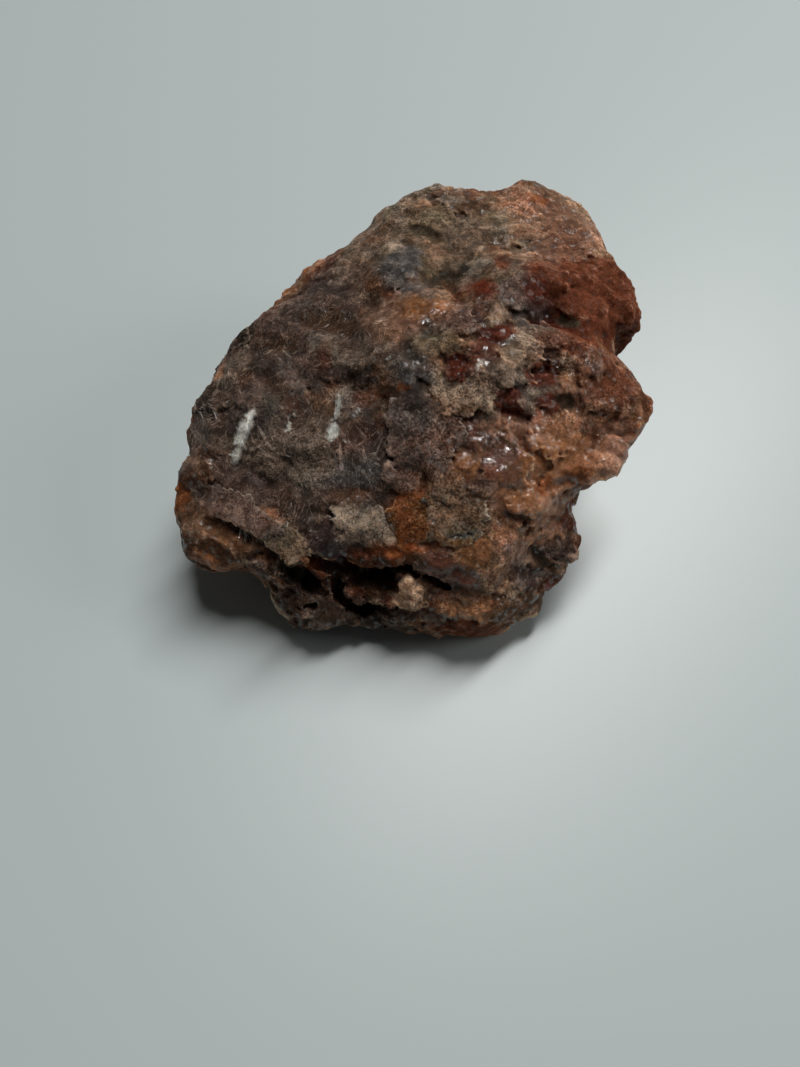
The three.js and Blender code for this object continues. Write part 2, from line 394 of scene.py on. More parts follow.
# Narrow cracks: pixels along each, half width and depth in mm.
CRACKS = [
    ([(424, 277), (438, 281), (452, 277), (464, 270)], 0.8, 0.7), ([(449, 282), (456, 294)], 0.8, 0.6),
    ([(414, 228), (426, 234), (438, 239)], 0.8, 0.5), ([(402, 240), (408, 244)], 0.6, 0.4),
    ([(494, 256), (506, 262), (518, 262)], 0.8, 0.5), ([(510, 304), (522, 312), (534, 318)], 1.6, 0.5),
    ([(552, 318), (566, 326)], 1.3, 0.5), ([(556, 396), (566, 400), (574, 408)], 1.0, 0.8),
    ([(614, 304), (616, 324), (622, 342)], 1.1, 0.7), ([(240, 322), (247, 330)], 1.1, 0.9),
    ([(230, 461), (248, 469), (268, 483)], 0.6, 0.5), ([(508, 414), (524, 420)], 0.8, 0.6),
    ([(508, 514), (524, 520)], 1.0, 0.5), ([(530, 546), (540, 562)], 1.1, 0.6),
    ([(478, 336), (494, 340)], 0.7, 0.5), ([(404, 346), (412, 362), (420, 376)], 1.0, 0.4),
    ([(384, 424), (392, 452), (396, 478)], 0.6, 0.5), ([(330, 512), (322, 534), (314, 552)], 0.9, 0.8),
    ([(440, 500), (452, 492)], 0.5, 0.4), ([(548, 488), (566, 480), (586, 478)], 0.8, 0.5),
    ([(304, 316), (328, 322), (346, 332)], 1.8, 0.9), ([(256, 346), (278, 342), (300, 350)], 1.4, 0.6),
    ([(262, 376), (276, 392), (296, 402)], 1.2, 0.5), ([(346, 380), (366, 388), (384, 396)], 1.2, 0.5),
    ([(372, 410), (366, 436), (380, 456)], 1.2, 0.3),
]

# Thin raised rims, such as the lip's edge: pixels along each, half width and height in mm.
RIMS = [
    ([(204, 504), (226, 514), (244, 528), (260, 542), (276, 554), (290, 562)], 0.8, 0.6),
    ([(302, 560), (310, 538), (320, 520)], 0.8, 0.4),
    ([(334, 536), (356, 540), (380, 543), (392, 541)], 0.8, 0.5),
    ([(392, 541), (408, 549), (424, 550), (436, 568), (458, 560)], 0.8, 0.5),
    ([(458, 560), (476, 566), (488, 574), (500, 560)], 0.8, 0.5),
    ([(388, 466), (396, 482), (410, 490), (418, 486)], 0.7, 0.5),
    ([(434, 468), (442, 496), (452, 502)], 0.7, 0.4),
    ([(486, 492), (500, 478), (512, 464), (520, 454)], 0.5, 0.5),
]

LUMP_SEED = 250
SMALL_LUMP = 2.0  # radius under which a lump is more ragged
SMALL_LUMP_RAGGED, LUMP_RAGGED = 0.6, 0.25  # shares of the radius

PIXEL_SIZE = 0.2  # mm that a pixel covers on the surface, at most
LINE_MARGIN = 3.0
LINE_RAGGED = 0.6  # share of a line's half width
LINE_CORE, LINE_EDGE = 0.2, 1.6  # shares of its half width where a line is full and where it ends


def carve(field, stops, behind, seed):
    """Cuts a ragged trench through the stops, which are pixels and radii."""
    places = [seen_at(u, v)[0] + pixel_ray(u, v) * behind for (u, v), _ in stops]
    radii = [radius for _, radius in stops]
    middle = np.mean(places, axis=0)
    reach = max(np.linalg.norm(place - middle) for place in places) + 2 * max(radii)
    box, points = field.around(middle, reach)
    part = field.values[box]
    hollow = np.full(len(points), BAND, np.float32)
    ragged = 1 + TRENCH_RAGGED * fractal(points, 2.0, seed, 3)
    for (a, wide_a), (b, wide_b) in zip(zip(places, radii), zip(places[1:], radii[1:])):
        gap, along = line_gap(points, a, b)
        hollow = np.minimum(hollow, gap - (wide_a + (wide_b - wide_a) * along) * ragged)
    part[...] = np.maximum(part, -hollow.reshape(part.shape))


def line_gap(points, a, b):
    """How far each point is from the line a to b, and its share of the way along."""
    way = b - a
    along = np.clip((points - a) @ way / (way @ way), 0, 1)
    gap = np.linalg.norm(points - a - np.outer(along, way), axis=1)
    return gap.astype(np.float32), along.astype(np.float32)


def add_lump(field, place, radius, seed):
    """Grows a ragged lump on the surface."""
    box, points = field.around(place, radius * 2)
    part = field.values[box]
    distance = np.linalg.norm(points - place.astype(np.float32), axis=1)
    ragged = SMALL_LUMP_RAGGED if radius < SMALL_LUMP else LUMP_RAGGED
    lump = distance - radius * (1 + ragged * fractal(points, 1.3, seed, 3, 0.7))
    part[...] = np.minimum(part, lump.reshape(part.shape))


def shape_front(field):
    for i, (stops, behind) in enumerate(TRENCHES):
        carve(field, stops, behind, TRENCH_SEED + i)
    for i, ((u, v), radius, before) in enumerate(LUMPS):
        add_lump(field, seen_at(u, v)[0] - pixel_ray(u, v) * before, radius, LUMP_SEED + i)


def path_distance(points, pixels):
    """How far each point is from a line over the surface through these pixels."""
    path = [seen_at(u, v)[0] for u, v in pixels]
    gaps = [line_gap(points, a, b)[0] for a, b in zip(path, path[1:])]
    return np.min(gaps, axis=0)


def line_relief(points):
    """Rims less cracks, in mm."""
    relief = np.zeros(len(points), np.float32)
    ragged = 1 + LINE_RAGGED * fractal(points, 1.5, 71, 2)
    for lines, sign in ((RIMS, 1), (CRACKS, -1)):
        for pixels, half, height in lines:
            middle = seen_at(*pixels[len(pixels) // 2])[0]
            length = sum(math.dist(a, b) for a, b in zip(pixels, pixels[1:])) * PIXEL_SIZE + LINE_MARGIN
            close = np.nonzero(np.abs(points - middle.astype(np.float32)).max(1) < length)[0]
            gap = path_distance(points[close], pixels) * ragged[close]
            relief[close] += sign * height * (1 - fade(gap, LINE_CORE * half, LINE_EDGE * half))
    return relief


# Scalloped plates, like shingles with their free rims towards the front: pixel, half width and half height in
# pixels, thickness in mm and kind of salt. The later ones lie over the earlier ones.
PLATES = [
    ((560, 248), 28, 20, 0.36, "salmon"), ((520, 230), 22, 16, 0.36, "beige"),
    ((470, 232), 24, 16, 0.36, "grey"), ((430, 212), 22, 12, 0.3, "olive_brown"),
    ((586, 296), 24, 22, 0.42, "rust"), ((620, 290), 18, 22, 0.42, "rust"),
    ((390, 320), 30, 20, 0.3, "grey"), ((352, 350), 24, 16, 0.4, "grey"),
    ((430, 318), 18, 14, 0.36, "mauve"), ((402, 262), 16, 15, 0.42, "blue"),
    ((372, 276), 18, 12, 0.3, "brown"), ((453, 312), 16, 14, 0.42, "mauve"),
    ((344, 470), 26, 18, 0.3, "blue"), ((196, 520), 20, 22, 0.6, "brown"),
    ((415, 360), 18, 18, 0.7, "blue"), ((462, 390), 32, 24, 0.8, "beige"),
    ((520, 352), 20, 16, 0.8, "beige"), ((512, 372), 17, 13, 0.7, "grey"),
    ((495, 334), 20, 9, 0.48, "maroon"), ((458, 366), 12, 16, 0.9, "red"),
    ((475, 358), 10, 13, 0.8, "maroon"), ((526, 402), 9, 13, 0.6, "grey"),
    ((470, 324), 14, 10, 0.42, "mauve"), ((604, 392), 24, 22, 0.8, "salmon"),
    ((474, 436), 12, 16, 0.6, "maroon"), ((468, 456), 13, 18, 0.5, "honey"),
    ((515, 518), 13, 6, 0.4, "brown"), ((538, 552), 12, 12, 0.7, "dark_brown"),
    ((322, 606), 16, 12, 0.8, "grey"), ((292, 604), 18, 12, 0.7, "brown"), ((350, 618), 18, 8, 0.6, "grey"),
    ((494, 384), 15, 10, 0.56, "grey"), ((460, 572), 22, 14, 0.48, "maroon"),
    ((562, 545), 13, 18, 0.56, "mauve"), ((500, 578), 24, 14, 0.45, "beige"),
    ((528, 582), 18, 14, 0.45, "brown"), ((504, 606), 24, 20, 0.56, "brown"),
    ((434, 608), 15, 12, 0.56, "maroon"), ((463, 603), 24, 15, 0.72, "tan"),
    ((472, 628), 26, 12, 0.48, "rust"), ((447, 481), 18, 21, 0.56, "beige"),
    ((480, 482), 16, 12, 0.42, "mauve"), ((402, 472), 19, 17, 0.7, "mauve"),
]
# The same for plates that get a thin crisp rim as well.
THIN_PLATES = [
    ((425, 432), 37, 38, 0.6, "mauve"), ((506, 464), 26, 22, 0.49, "maroon"),
    ((446, 515), 34, 28, 0.42, "beige"), ((408, 516), 19, 27, 0.7, "orange"),
    ((458, 536), 19, 10, 0.56, "honey"), ((480, 550), 26, 20, 0.6, "honey"),
    ((436, 560), 17, 11, 0.8, "maroon"), ((392, 556), 12, 9, 0.8, "rust"),
    ((240, 512), 50, 15, 0.6, "mauve"), ((284, 540), 26, 14, 0.6, "olive_brown"),
    ((326, 538), 17, 22, 0.3, "glassy"), ((362, 520), 34, 19, 0.8, "grey"),
]
# The same for plates over all of these, at the lower right, without a thin rim.
FRONT_PLATES = [
    ((556, 504), 16, 12, 0.7, "brown"), ((530, 502), 22, 15, 0.9, "tan"), ((552, 522), 16, 13, 0.8, "pink"),
    ((517, 519), 12, 7, 0.5, "brown"), ((546, 540), 15, 12, 0.8, "mauve"),
    ((538, 556), 11, 12, 0.8, "dark_brown"), ((514, 548), 17, 15, 0.9, "pink"),
    ((500, 584), 20, 10, 0.8, "beige"), ((524, 574), 16, 12, 0.8, "mauve"),
    ((474, 590), 20, 10, 0.8, "brown"), ((530, 602), 18, 10, 0.7, "brown"),
    ((446, 588), 15, 9, 0.8, "maroon"),
]
TURNS = {(240, 512): 30, (284, 540): 42, (362, 520): 18, (326, 538): -15}  # of some plates, in degrees
RANDOM_PLATES = 460  # plates all over the lump, under the named ones
RANDOM_WIDTH, RANDOM_HEIGHT = (1.3, 3.8), (1.1, 3.2)  # their least and most half axes, in mm
RANDOM_THICKNESS = (0.25, 0.65)
RANDOM_SEED = 11
CALM_THINNING = 0.75  # how much thinner they are where the surface is calm
RIM_RAGGED = 0.34  # share of a plate's half axes
LOBES = ((0.5, 5, 1.0), (0.3, 9, 2.3))  # of a rim: how large, how many round it, and how plates differ
LOBE_SHARE, CHIP_SHARE = 0.4, 1.2  # of lobes and of uneven chips in the raggedness
RIM_WIDENING = 0.12  # how much wider a plate is at its top, as a share of its reach
PLATE_LEVELS = 1.2  # how far over and under its middle a plate's spot holds, as a share of its reach
PLATE_OVERLAP = 0.05  # mm by which a plate may lie under the surface and still lend it its salt


def plate_rim(flat, points, number):
    """A plate's ragged outline: how many half axes off the middle it lies, seen from each point."""
    angle = np.arctan2(flat[:, 1], flat[:, 0])
    lobes = sum(size * np.sin(angle * count + number * turn) for size, count, turn in LOBES)
    chips = fractal(points, 1.6, number, 3, 0.75)
    return 1 + RIM_RAGGED * (LOBE_SHARE * lobes + CHIP_SHARE * chips)


def plate_along(spot, points):
    """-1 at the end where a plate runs out into the surface and 1 at its free rim."""
    down = DOWN - spot.normal * (DOWN @ spot.normal)
    down /= max(np.linalg.norm(down), 0.2)
    return (points - spot.place.astype(np.float32)) @ down.astype(np.float32) / spot.reach


def plate_top(along, radius, thickness):
    """How high a plate stands: most at its free rim, and a little less at its sides."""
    return thickness * (0.1 + 0.9 * fade(along, -0.9, 0.6)) * (1 - 0.2 * np.minimum(radius, 1) ** 4)


def grow_plate(field, base, spot, thickness, number):
    """A plate that stands out from the surface below it."""
    box, points = field.around(spot.place, spot.reach * 1.6 + 1)
    part = field.values[box]
    height = base.values[box].reshape(-1)
    flat = spot.across(points)
    radius = np.hypot(flat[:, 0], flat[:, 1])
    top = plate_top(plate_along(spot, points), radius, thickness)
    rim = plate_rim(flat, points, number)
    side = (radius - rim - RIM_WIDENING * np.clip(height / thickness, 0, 1)) * spot.reach
    plate = np.maximum(height - top, side)
    plate = np.where(np.abs(flat[:, 2]) < PLATE_LEVELS, plate, BAND).reshape(part.shape)
    outer = plate < part + PLATE_OVERLAP
    field.plate[box][outer] = number
    field.rim[box][outer] = side.reshape(part.shape)[outer]
    part[...] = np.minimum(part, plate)


def grow_plates(field, base):
    random = np.random.default_rng(RANDOM_SEED)
    areas, middles, normals = cad_faces
    chosen = random.choice(len(areas), RANDOM_PLATES, p=areas / areas.sum())
    seen = project(middles)
    calm = region(seen, CALM) * (1 - region(seen, COARSE))
    plates = []
    for face in chosen:
        wide, high = random.uniform(*RANDOM_WIDTH), random.uniform(*RANDOM_HEIGHT)
        thickness = random.uniform(*RANDOM_THICKNESS) * (1 - CALM_THINNING * calm[face])
        plates.append((spot_on(middles[face], normals[face], wide, high), thickness, None))
    for (u, v), wide, high, thickness, kind in PLATES + THIN_PLATES + FRONT_PLATES:
        plates.append((spot_at(u, v, wide, high, TURNS.get((u, v), 0)), thickness, kind))
    for number, (spot, thickness, _) in enumerate(plates, 1):
        grow_plate(field, base, spot, thickness, number)
    return plates


# Where the surface is coarse with crystals, calm, grainy with knobs, glassy or like felt: each patch's pixel,
# half width and half height.
COARSE = [((520, 375), 50, 44), ((450, 600), 90, 30), ((330, 600), 60, 26), ((500, 330), 40, 24)]
CALM = [
    ((235, 540), 60, 26), ((262, 458), 56, 44), ((350, 440), 40, 60), ((506, 468), 28, 28),
    ((486, 540), 34, 24), ((600, 440), 50, 40), ((290, 350), 60, 50), ((440, 480), 60, 50),
    ((470, 560), 60, 30), ((420, 250), 90, 50), ((540, 230), 80, 50), ((600, 300), 50, 60),
    ((500, 290), 60, 30), ((350, 300), 70, 40), ((610, 430), 50, 60),
]
GRAINY = [
    ((628, 344), 24, 30), ((600, 290), 60, 60), ((624, 400), 36, 50), ((556, 222), 60, 44),
    ((460, 206), 70, 30), ((212, 380), 30, 60), ((300, 290), 60, 50),
]
GLASSY = [((530, 465), 60, 46), ((612, 448), 36, 26)]
FELT = [((290, 440), 110, 110), ((330, 360), 80, 60), ((360, 480), 60, 50), ((300, 330), 60, 50)]
REGION_CORE, REGION_END = 0.6, 1.3  # how far out these patches are full and where they end, in half axes


def region(seen, patches):
    """How much each projected point belongs to any of these patches."""
    most = np.zeros(len(seen), np.float32)
    for (u, v), wide, high in patches:
        distance = patch_distance(seen, u, v, wide, high)
        most = np.maximum(most, 1 - fade(distance, REGION_CORE, REGION_END))
    return most


def wandering(points, size, seed, octaves, reach):
    """The points moved up to about reach, in ways that change over size."""
    way = np.stack([fractal(points, size, seed + i, octaves) for i in range(3)], 1)
    return points + way * np.float32(reach)


def warped(points):
    """The points moved a little, so that crystals' edges aren't quite straight."""
    return wandering(points, 2.5, 21, 2, EDGE_WANDER)


# Crystals of two sizes: how far apart they are in mm, a seed, how much their faces differ in height and in
# slope, and how strong that is: anywhere, how much more in coarse places and how much less in calm ones.
BIG_CRYSTALS = {"size": 3.4, "seed": 41, "step": 0.36, "tilt": 0.34, "strength": (0.4, 0.3, 0.25)}
SMALL_CRYSTALS = {"size": 1.5, "seed": 42, "step": 0.09, "tilt": 0.28, "strength": (0.5, 0.4, 0.42)}
CRYSTAL_REACH, GRAIN_REACH = 1.8, 1.2  # how far from the surface the field is changed, in mm
EDGE_WANDER = 0.5  # how far the crystals' edges wander, in mm
GLASSY_CRYSTALS = 0.7  # how much of a calm place's calm glassy salt undoes
SWELL_HEIGHT = 0.35
SEAM_DEPTH, COARSE_SEAM_DEPTH = 0.06, 0.18  # between large crystals, and how much more in coarse places
SEAM_WIDTH = 0.12  # as a share of their size
GRIT_HEIGHT = 0.16
KNOB_HEIGHT, KNOB_LEVEL = 0.55, 0.45  # of a grainy place's round knobs, and the share of one that stands out
KNOLL_HEIGHT = 0.3


def roughness(points):
    """How coarse, how calm and how grainy the surface is at each point."""
    seen = project(points)
    coarse = region(seen, COARSE)
    calm = region(seen, CALM) * (1 - coarse) * (1 - GLASSY_CRYSTALS * region(seen, GLASSY))
    return coarse, calm, region(seen, GRAINY)


def crystal_faces(points, kind, coarse, calm):
    """The relief of flat faces, each at its own height and slope, and how far the nearest two middles are."""
    near, far, away, owner = cells(warped(points), kind["size"], kind["seed"])
    slope = np.stack([share(owner, turn) for turn in (4, 5, 6)], 1) * 2 - 1
    tilted = kind["tilt"] * kind["size"] * np.einsum("ij,ij->i", away, slope)
    height = kind["step"] * (2 * share(owner, 7) - 1) + tilted
    anywhere, coarser, calmer = kind["strength"]
    return (anywhere + coarser * coarse - calmer * calm) * height, near, far


def add_crystals(field):
    """Swells and large crystals, which the plates then grow over."""
    index, points = field.near(CRYSTAL_REACH)
    coarse, calm, _ = roughness(points)
    faces, near, far = crystal_faces(points, BIG_CRYSTALS, coarse, calm)
    relief = SWELL_HEIGHT * fractal(points, 7.0, 31, 2) + faces
    relief -= (SEAM_DEPTH + COARSE_SEAM_DEPTH * coarse) * (1 - fade(far - near, 0.0, SEAM_WIDTH))
    field.values[index] -= relief


def add_grain(field):
    """Small crystals, grit, knobs, rims and cracks."""
    index, points = field.near(GRAIN_REACH)
    coarse, calm, grainy = roughness(points)
    relief, near, _ = crystal_faces(points, SMALL_CRYSTALS, coarse, calm)
    relief += GRIT_HEIGHT * fractal(points, 1.4, 33, 3, 0.7)
    relief += grainy * (KNOB_HEIGHT * (KNOB_LEVEL - near) + KNOLL_HEIGHT * fractal(points, 2.6, 34, 2))
    relief += line_relief(points)
    field.values[index] -= relief


def keep_off_table(field):
    """Cuts the lump off level at the table."""
    heights = (np.arange(field.values.shape[2]) + field.low[2]) * VOXEL
    field.values = np.maximum(field.values, -heights.astype(np.float32)[None, None, :])


def make_surface():
    base = Field(cad_points, cad_triangles)
    base.values = blurred(base.values, ROUNDING)
    field = base.copy()
    field.plate = np.zeros(base.values.shape, np.int16)
    field.rim = np.full(base.values.shape, -BAND, np.float32)
    add_crystals(field)
    plates = grow_plates(field, base)
    add_grain(field)
    shape_front(field)
    keep_off_table(field)
    return field, base, plates


def largest_piece(points, triangles):
    """Leaves out specks that the carving cut loose, and sealed bubbles."""
    label = np.arange(len(points))
    a, b = edges(triangles)
    while True:
        lower = np.minimum(label[a], label[b])
        before = label.copy()
        np.minimum.at(label, a, lower)
        np.minimum.at(label, b, lower)
        label = label[label]
        if (label == before).all():
            break
    names, counts = np.unique(label, return_counts=True)
    kept = triangles[label[triangles[:, 0]] == names[counts.argmax()]]
    used, renumbered = np.unique(kept, return_inverse=True)
    return points[used], renumbered.reshape(-1, 3)


MOST_TRIANGLES = 199000


def thin_out(lump):
    """Takes out triangles where the surface is flattest, down to MOST_TRIANGLES."""
    count = len(lump.data.polygons)
    if count <= MOST_TRIANGLES:
        return
    modifier = lump.modifiers.new("thin", "DECIMATE")
    modifier.ratio = MOST_TRIANGLES / count
    bpy.context.view_layer.update()
    thinned = bpy.data.meshes.new_from_object(lump.evaluated_get(bpy.context.evaluated_depsgraph_get()))
    lump.modifiers.clear()
    lump.data = thinned


def make_mesh(name, points, triangles):
    mesh = bpy.data.meshes.new(name)
    mesh.vertices.add(len(points))
    mesh.vertices.foreach_set("co", (points * MM).astype(np.float32).ravel())
    mesh.loops.add(len(triangles) * 3)
    mesh.loops.foreach_set("vertex_index", triangles.astype(np.int32).ravel())
    mesh.polygons.add(len(triangles))
    mesh.polygons.foreach_set("loop_start", np.arange(0, len(triangles) * 3, 3, dtype=np.int32))
    mesh.update(calc_edges=True)
    mesh.validate()
    mesh.shade_smooth()
    piece = bpy.data.objects.new(name, mesh)
    bpy.context.scene.collection.objects.link(piece)
    return piece


# ---------------------------------------------------------------------------------------------------------
# Thin plates with crisp rims over the grown ones
# ---------------------------------------------------------------------------------------------------------
PLATE_RINGS = (0.25, 0.5, 0.7, 0.84, 0.93, 1.0)  # shares of the way from a plate's middle to its rim
UNDER_RINGS = (0.98, 0.8)  # the same on its underside
RIM_STEP, LEAST_STEPS = 0.30, 16  # mm between two points of a rim, and the least number of points
RIM_ROUNDS = 3  # the rim's raggedness depends on where the rim is, so it is worked out this often
RIM_NICKS = 0.05  # share of a plate's half axes
RIM_REACH = 0.10  # how far the rim hangs past the grown plate's, in mm
PLATE_LIFT = 0.08  # how far the plate stands over the grown one at its free rim, in mm
RIM_DEPTH = 0.18  # how thick its rim is, in mm
UNDER_DEPTH, ROOT_DEPTH = 0.4, 0.9  # how deep its underside goes near the rim and in the middle, in mm
PLATE_GRAIN = 0.10  # mm by which its top is uneven
TABLE_GAP = 0.05  # least height of a plate over the table, in mm
DROP_ROUNDS = 4  # steps in which a point is moved onto the solid
HIDDEN_STEP = 3  # one in three of the plates on the sides that don't show is thin


def dropped(points, normal, base):
    """The points moved along a normal onto the smooth surface of the solid."""
    for _ in range(DROP_ROUNDS):
        points = points - normal.astype(np.float32) * base.sample(base.values, points)[:, None]
    return points


def thin_plate(spot, thickness, number, base):
    """A closed thin plate: its points, its triangles and how far inside its rim each point is."""
    segments = max(int(2 * math.pi * spot.reach / RIM_STEP), LEAST_STEPS)
    angle = np.arange(segments) * (2 * math.pi / segments)
    circle = np.stack([np.cos(angle), np.sin(angle)], 1)
    rim = np.ones(segments)
    for _ in range(RIM_ROUNDS):
        flat = circle * rim[:, None]
        edge = (spot.place + flat @ spot.axes).astype(np.float32)
        rim = plate_rim(flat, edge, number) + RIM_NICKS * fractal(edge, 0.7, number, 2)
    rim += RIM_REACH / spot.reach
    rings = np.array(PLATE_RINGS + UNDER_RINGS)
    flat = (circle[None] * rim[None, :, None] * rings[:, None, None]).reshape(-1, 2)
    flat = np.concatenate([flat, np.zeros((2, 2))])
    plane = (spot.place + flat @ spot.axes).astype(np.float32)
    along = plate_along(spot, plane)
    height = plate_top(along, np.hypot(flat[:, 0], flat[:, 1]), thickness)
    height += PLATE_LIFT * (2 * fade(along, -1.0, -0.2) - 1)
    places = dropped(plane, spot.normal, base)
    height += PLATE_GRAIN * fractal(places, 1.3, number + 3, 3, 0.6)
    last = len(PLATE_RINGS) * segments
    height[last:last + segments] -= RIM_DEPTH
    height[last + segments:last + 2 * segments] = -UNDER_DEPTH
    height[-1] = -ROOT_DEPTH
    places = places + spot.normal.astype(np.float32) * height[:, None].astype(np.float32)
    places[:, 2] = np.maximum(places[:, 2], TABLE_GAP)
    inside = np.concatenate([np.repeat(rings - 1, segments), [-1, -1]]) * spot.reach
    inside[last:-2] = 0.0
    return places, disc_faces(segments, len(rings)), inside


def disc_faces(segments, rings):
    """The triangles that join rings of points, with a point at each end."""
    here = np.arange(segments)
    after = (here + 1) % segments
    first, last = rings * segments, (rings - 1) * segments
    faces = [np.stack([np.full(segments, first), here, after], 1)]
    for ring in range(rings - 1):
        a, b = here + ring * segments, after + ring * segments
        faces += [np.stack([a, a + segments, b + segments], 1), np.stack([a, b + segments, b], 1)]
    faces.append(np.stack([np.full(segments, first + 1), after + last, here + last], 1))
    return np.concatenate(faces)


def faces_away(spot):
    """Whether a spot's surface looks away from the camera."""
    return (spot.place - EYE) @ spot.normal > 0


def make_thin_plates(base, plates):
    """One mesh of all the thin plates, with each point's plate number and distance inside the rim."""
    some = range(1, RANDOM_PLATES + 1, HIDDEN_STEP)
    hidden = [number for number in some if faces_away(plates[number - 1][0])]
    first = RANDOM_PLATES + len(PLATES) + 1
    named = range(first, first + len(THIN_PLATES))
    points, faces, numbers, insides = [], [], [], []
    count = 0
    for number in [*hidden, *named]:
        spot, thickness, _ = plates[number - 1]
        places, triangles, inside = thin_plate(spot, thickness, number, base)
        points.append(places)
        faces.append(triangles + count)
        numbers.append(np.full(len(places), number))
        insides.append(inside)
        count += len(places)
    plates_mesh = make_mesh("salt_plates", np.concatenate(points), np.concatenate(faces))
    return plates_mesh, np.concatenate(numbers), np.concatenate(insides)


# ---------------------------------------------------------------------------------------------------------
# Where each kind of salt is
# ---------------------------------------------------------------------------------------------------------
# For each kind: its colour, how much of it frost covers, its gloss and how clear it is.
KINDS = {
    "felt": ((0.054, 0.034, 0.027), 0.10, 0.0, 0.15),
    "grey": ((0.105, 0.075, 0.056), 0.34, 0.0, 0.2),
    "mauve": ((0.088, 0.050, 0.039), 0.30, 0.1, 0.25),
    "blue": ((0.056, 0.050, 0.048), 0.20, 0.1, 0.25),
    "beige": ((0.185, 0.110, 0.067), 0.36, 0.1, 0.35),
    "olive_brown": ((0.098, 0.067, 0.039), 0.28, 0.0, 0.2),
    "pink": ((0.310, 0.155, 0.094), 0.30, 0.2, 0.4),
    "salmon": ((0.142, 0.063, 0.035), 0.22, 0.2, 0.4),
    "tan": ((0.370, 0.162, 0.070), 0.10, 0.5, 0.5),
    "cream": ((0.330, 0.200, 0.125), 0.36, 0.1, 0.4),
    "honey": ((0.230, 0.102, 0.038), 0.08, 0.6, 0.5),
    "orange": ((0.230, 0.072, 0.020), 0.20, 0.0, 0.3),
    "rust": ((0.110, 0.029, 0.011), 0.12, 0.0, 0.3),
    "red": ((0.090, 0.019, 0.009), 0.0, 0.1, 0.4),
    "glassy": ((0.036, 0.016, 0.013), 0.0, 0.5, 0.6),
    "maroon": ((0.120, 0.042, 0.022), 0.04, 0.8, 0.5),
    "brown": ((0.086, 0.038, 0.018), 0.14, 0.2, 0.3),
    "dark_brown": ((0.048, 0.022, 0.010), 0.02, 0.3, 0.4),
    "shade": ((0.046, 0.037, 0.024), 0.04, 0.0, 0.1),
    # dark: near black, painted shade in voids and cracks
    "dark": ((0.010, 0.006, 0.003), 0.0, 0.0, 0.1),
    "frost": ((0.230, 0.168, 0.122), 0.60, 0.0, 0.3),
    # white streaks: painted reflections of light on flat faces
    "painted_reflection": ((0.640, 0.640, 0.590), 0.0, 0.0, 0.2),
}
# What the crystals and plates that aren't named are made of: pixel, half width, half height and kinds.
PALETTES = [
    ((300, 430), 130, 120, ("felt", "felt", "grey", "mauve", "felt", "brown")),
    ((440, 235), 90, 50, ("grey", "olive_brown", "beige", "grey", "brown")),
    ((560, 225), 60, 40, ("salmon", "pink", "pink", "beige")),
    ((590, 300), 60, 50, ("rust", "rust", "rust", "red")),
    ((510, 310), 50, 40, ("grey", "olive_brown", "beige", "mauve", "red")),
    ((500, 380), 60, 50, ("beige", "grey", "red", "pink", "mauve")),
    ((610, 420), 60, 60, ("salmon", "pink", "rust", "tan")),
    ((450, 490), 70, 60, ("beige", "mauve", "pink", "brown", "orange")),
    ((540, 490), 50, 60, ("tan", "brown", "mauve", "honey", "pink")),
    ((230, 530), 80, 30, ("brown", "honey", "brown", "tan")),
    ((370, 570), 70, 24, ("rust", "red", "dark_brown", "rust")),
    ((330, 612), 80, 24, ("grey", "mauve", "brown", "felt")),
    ((470, 600), 70, 40, ("brown", "rust", "tan", "mauve", "maroon")),
]
ELSEWHERE = ("felt", "grey", "mauve", "beige", "brown", "brown", "olive_brown", "tan", "rust", "pink", "blue",
             "honey", "red", "salmon")

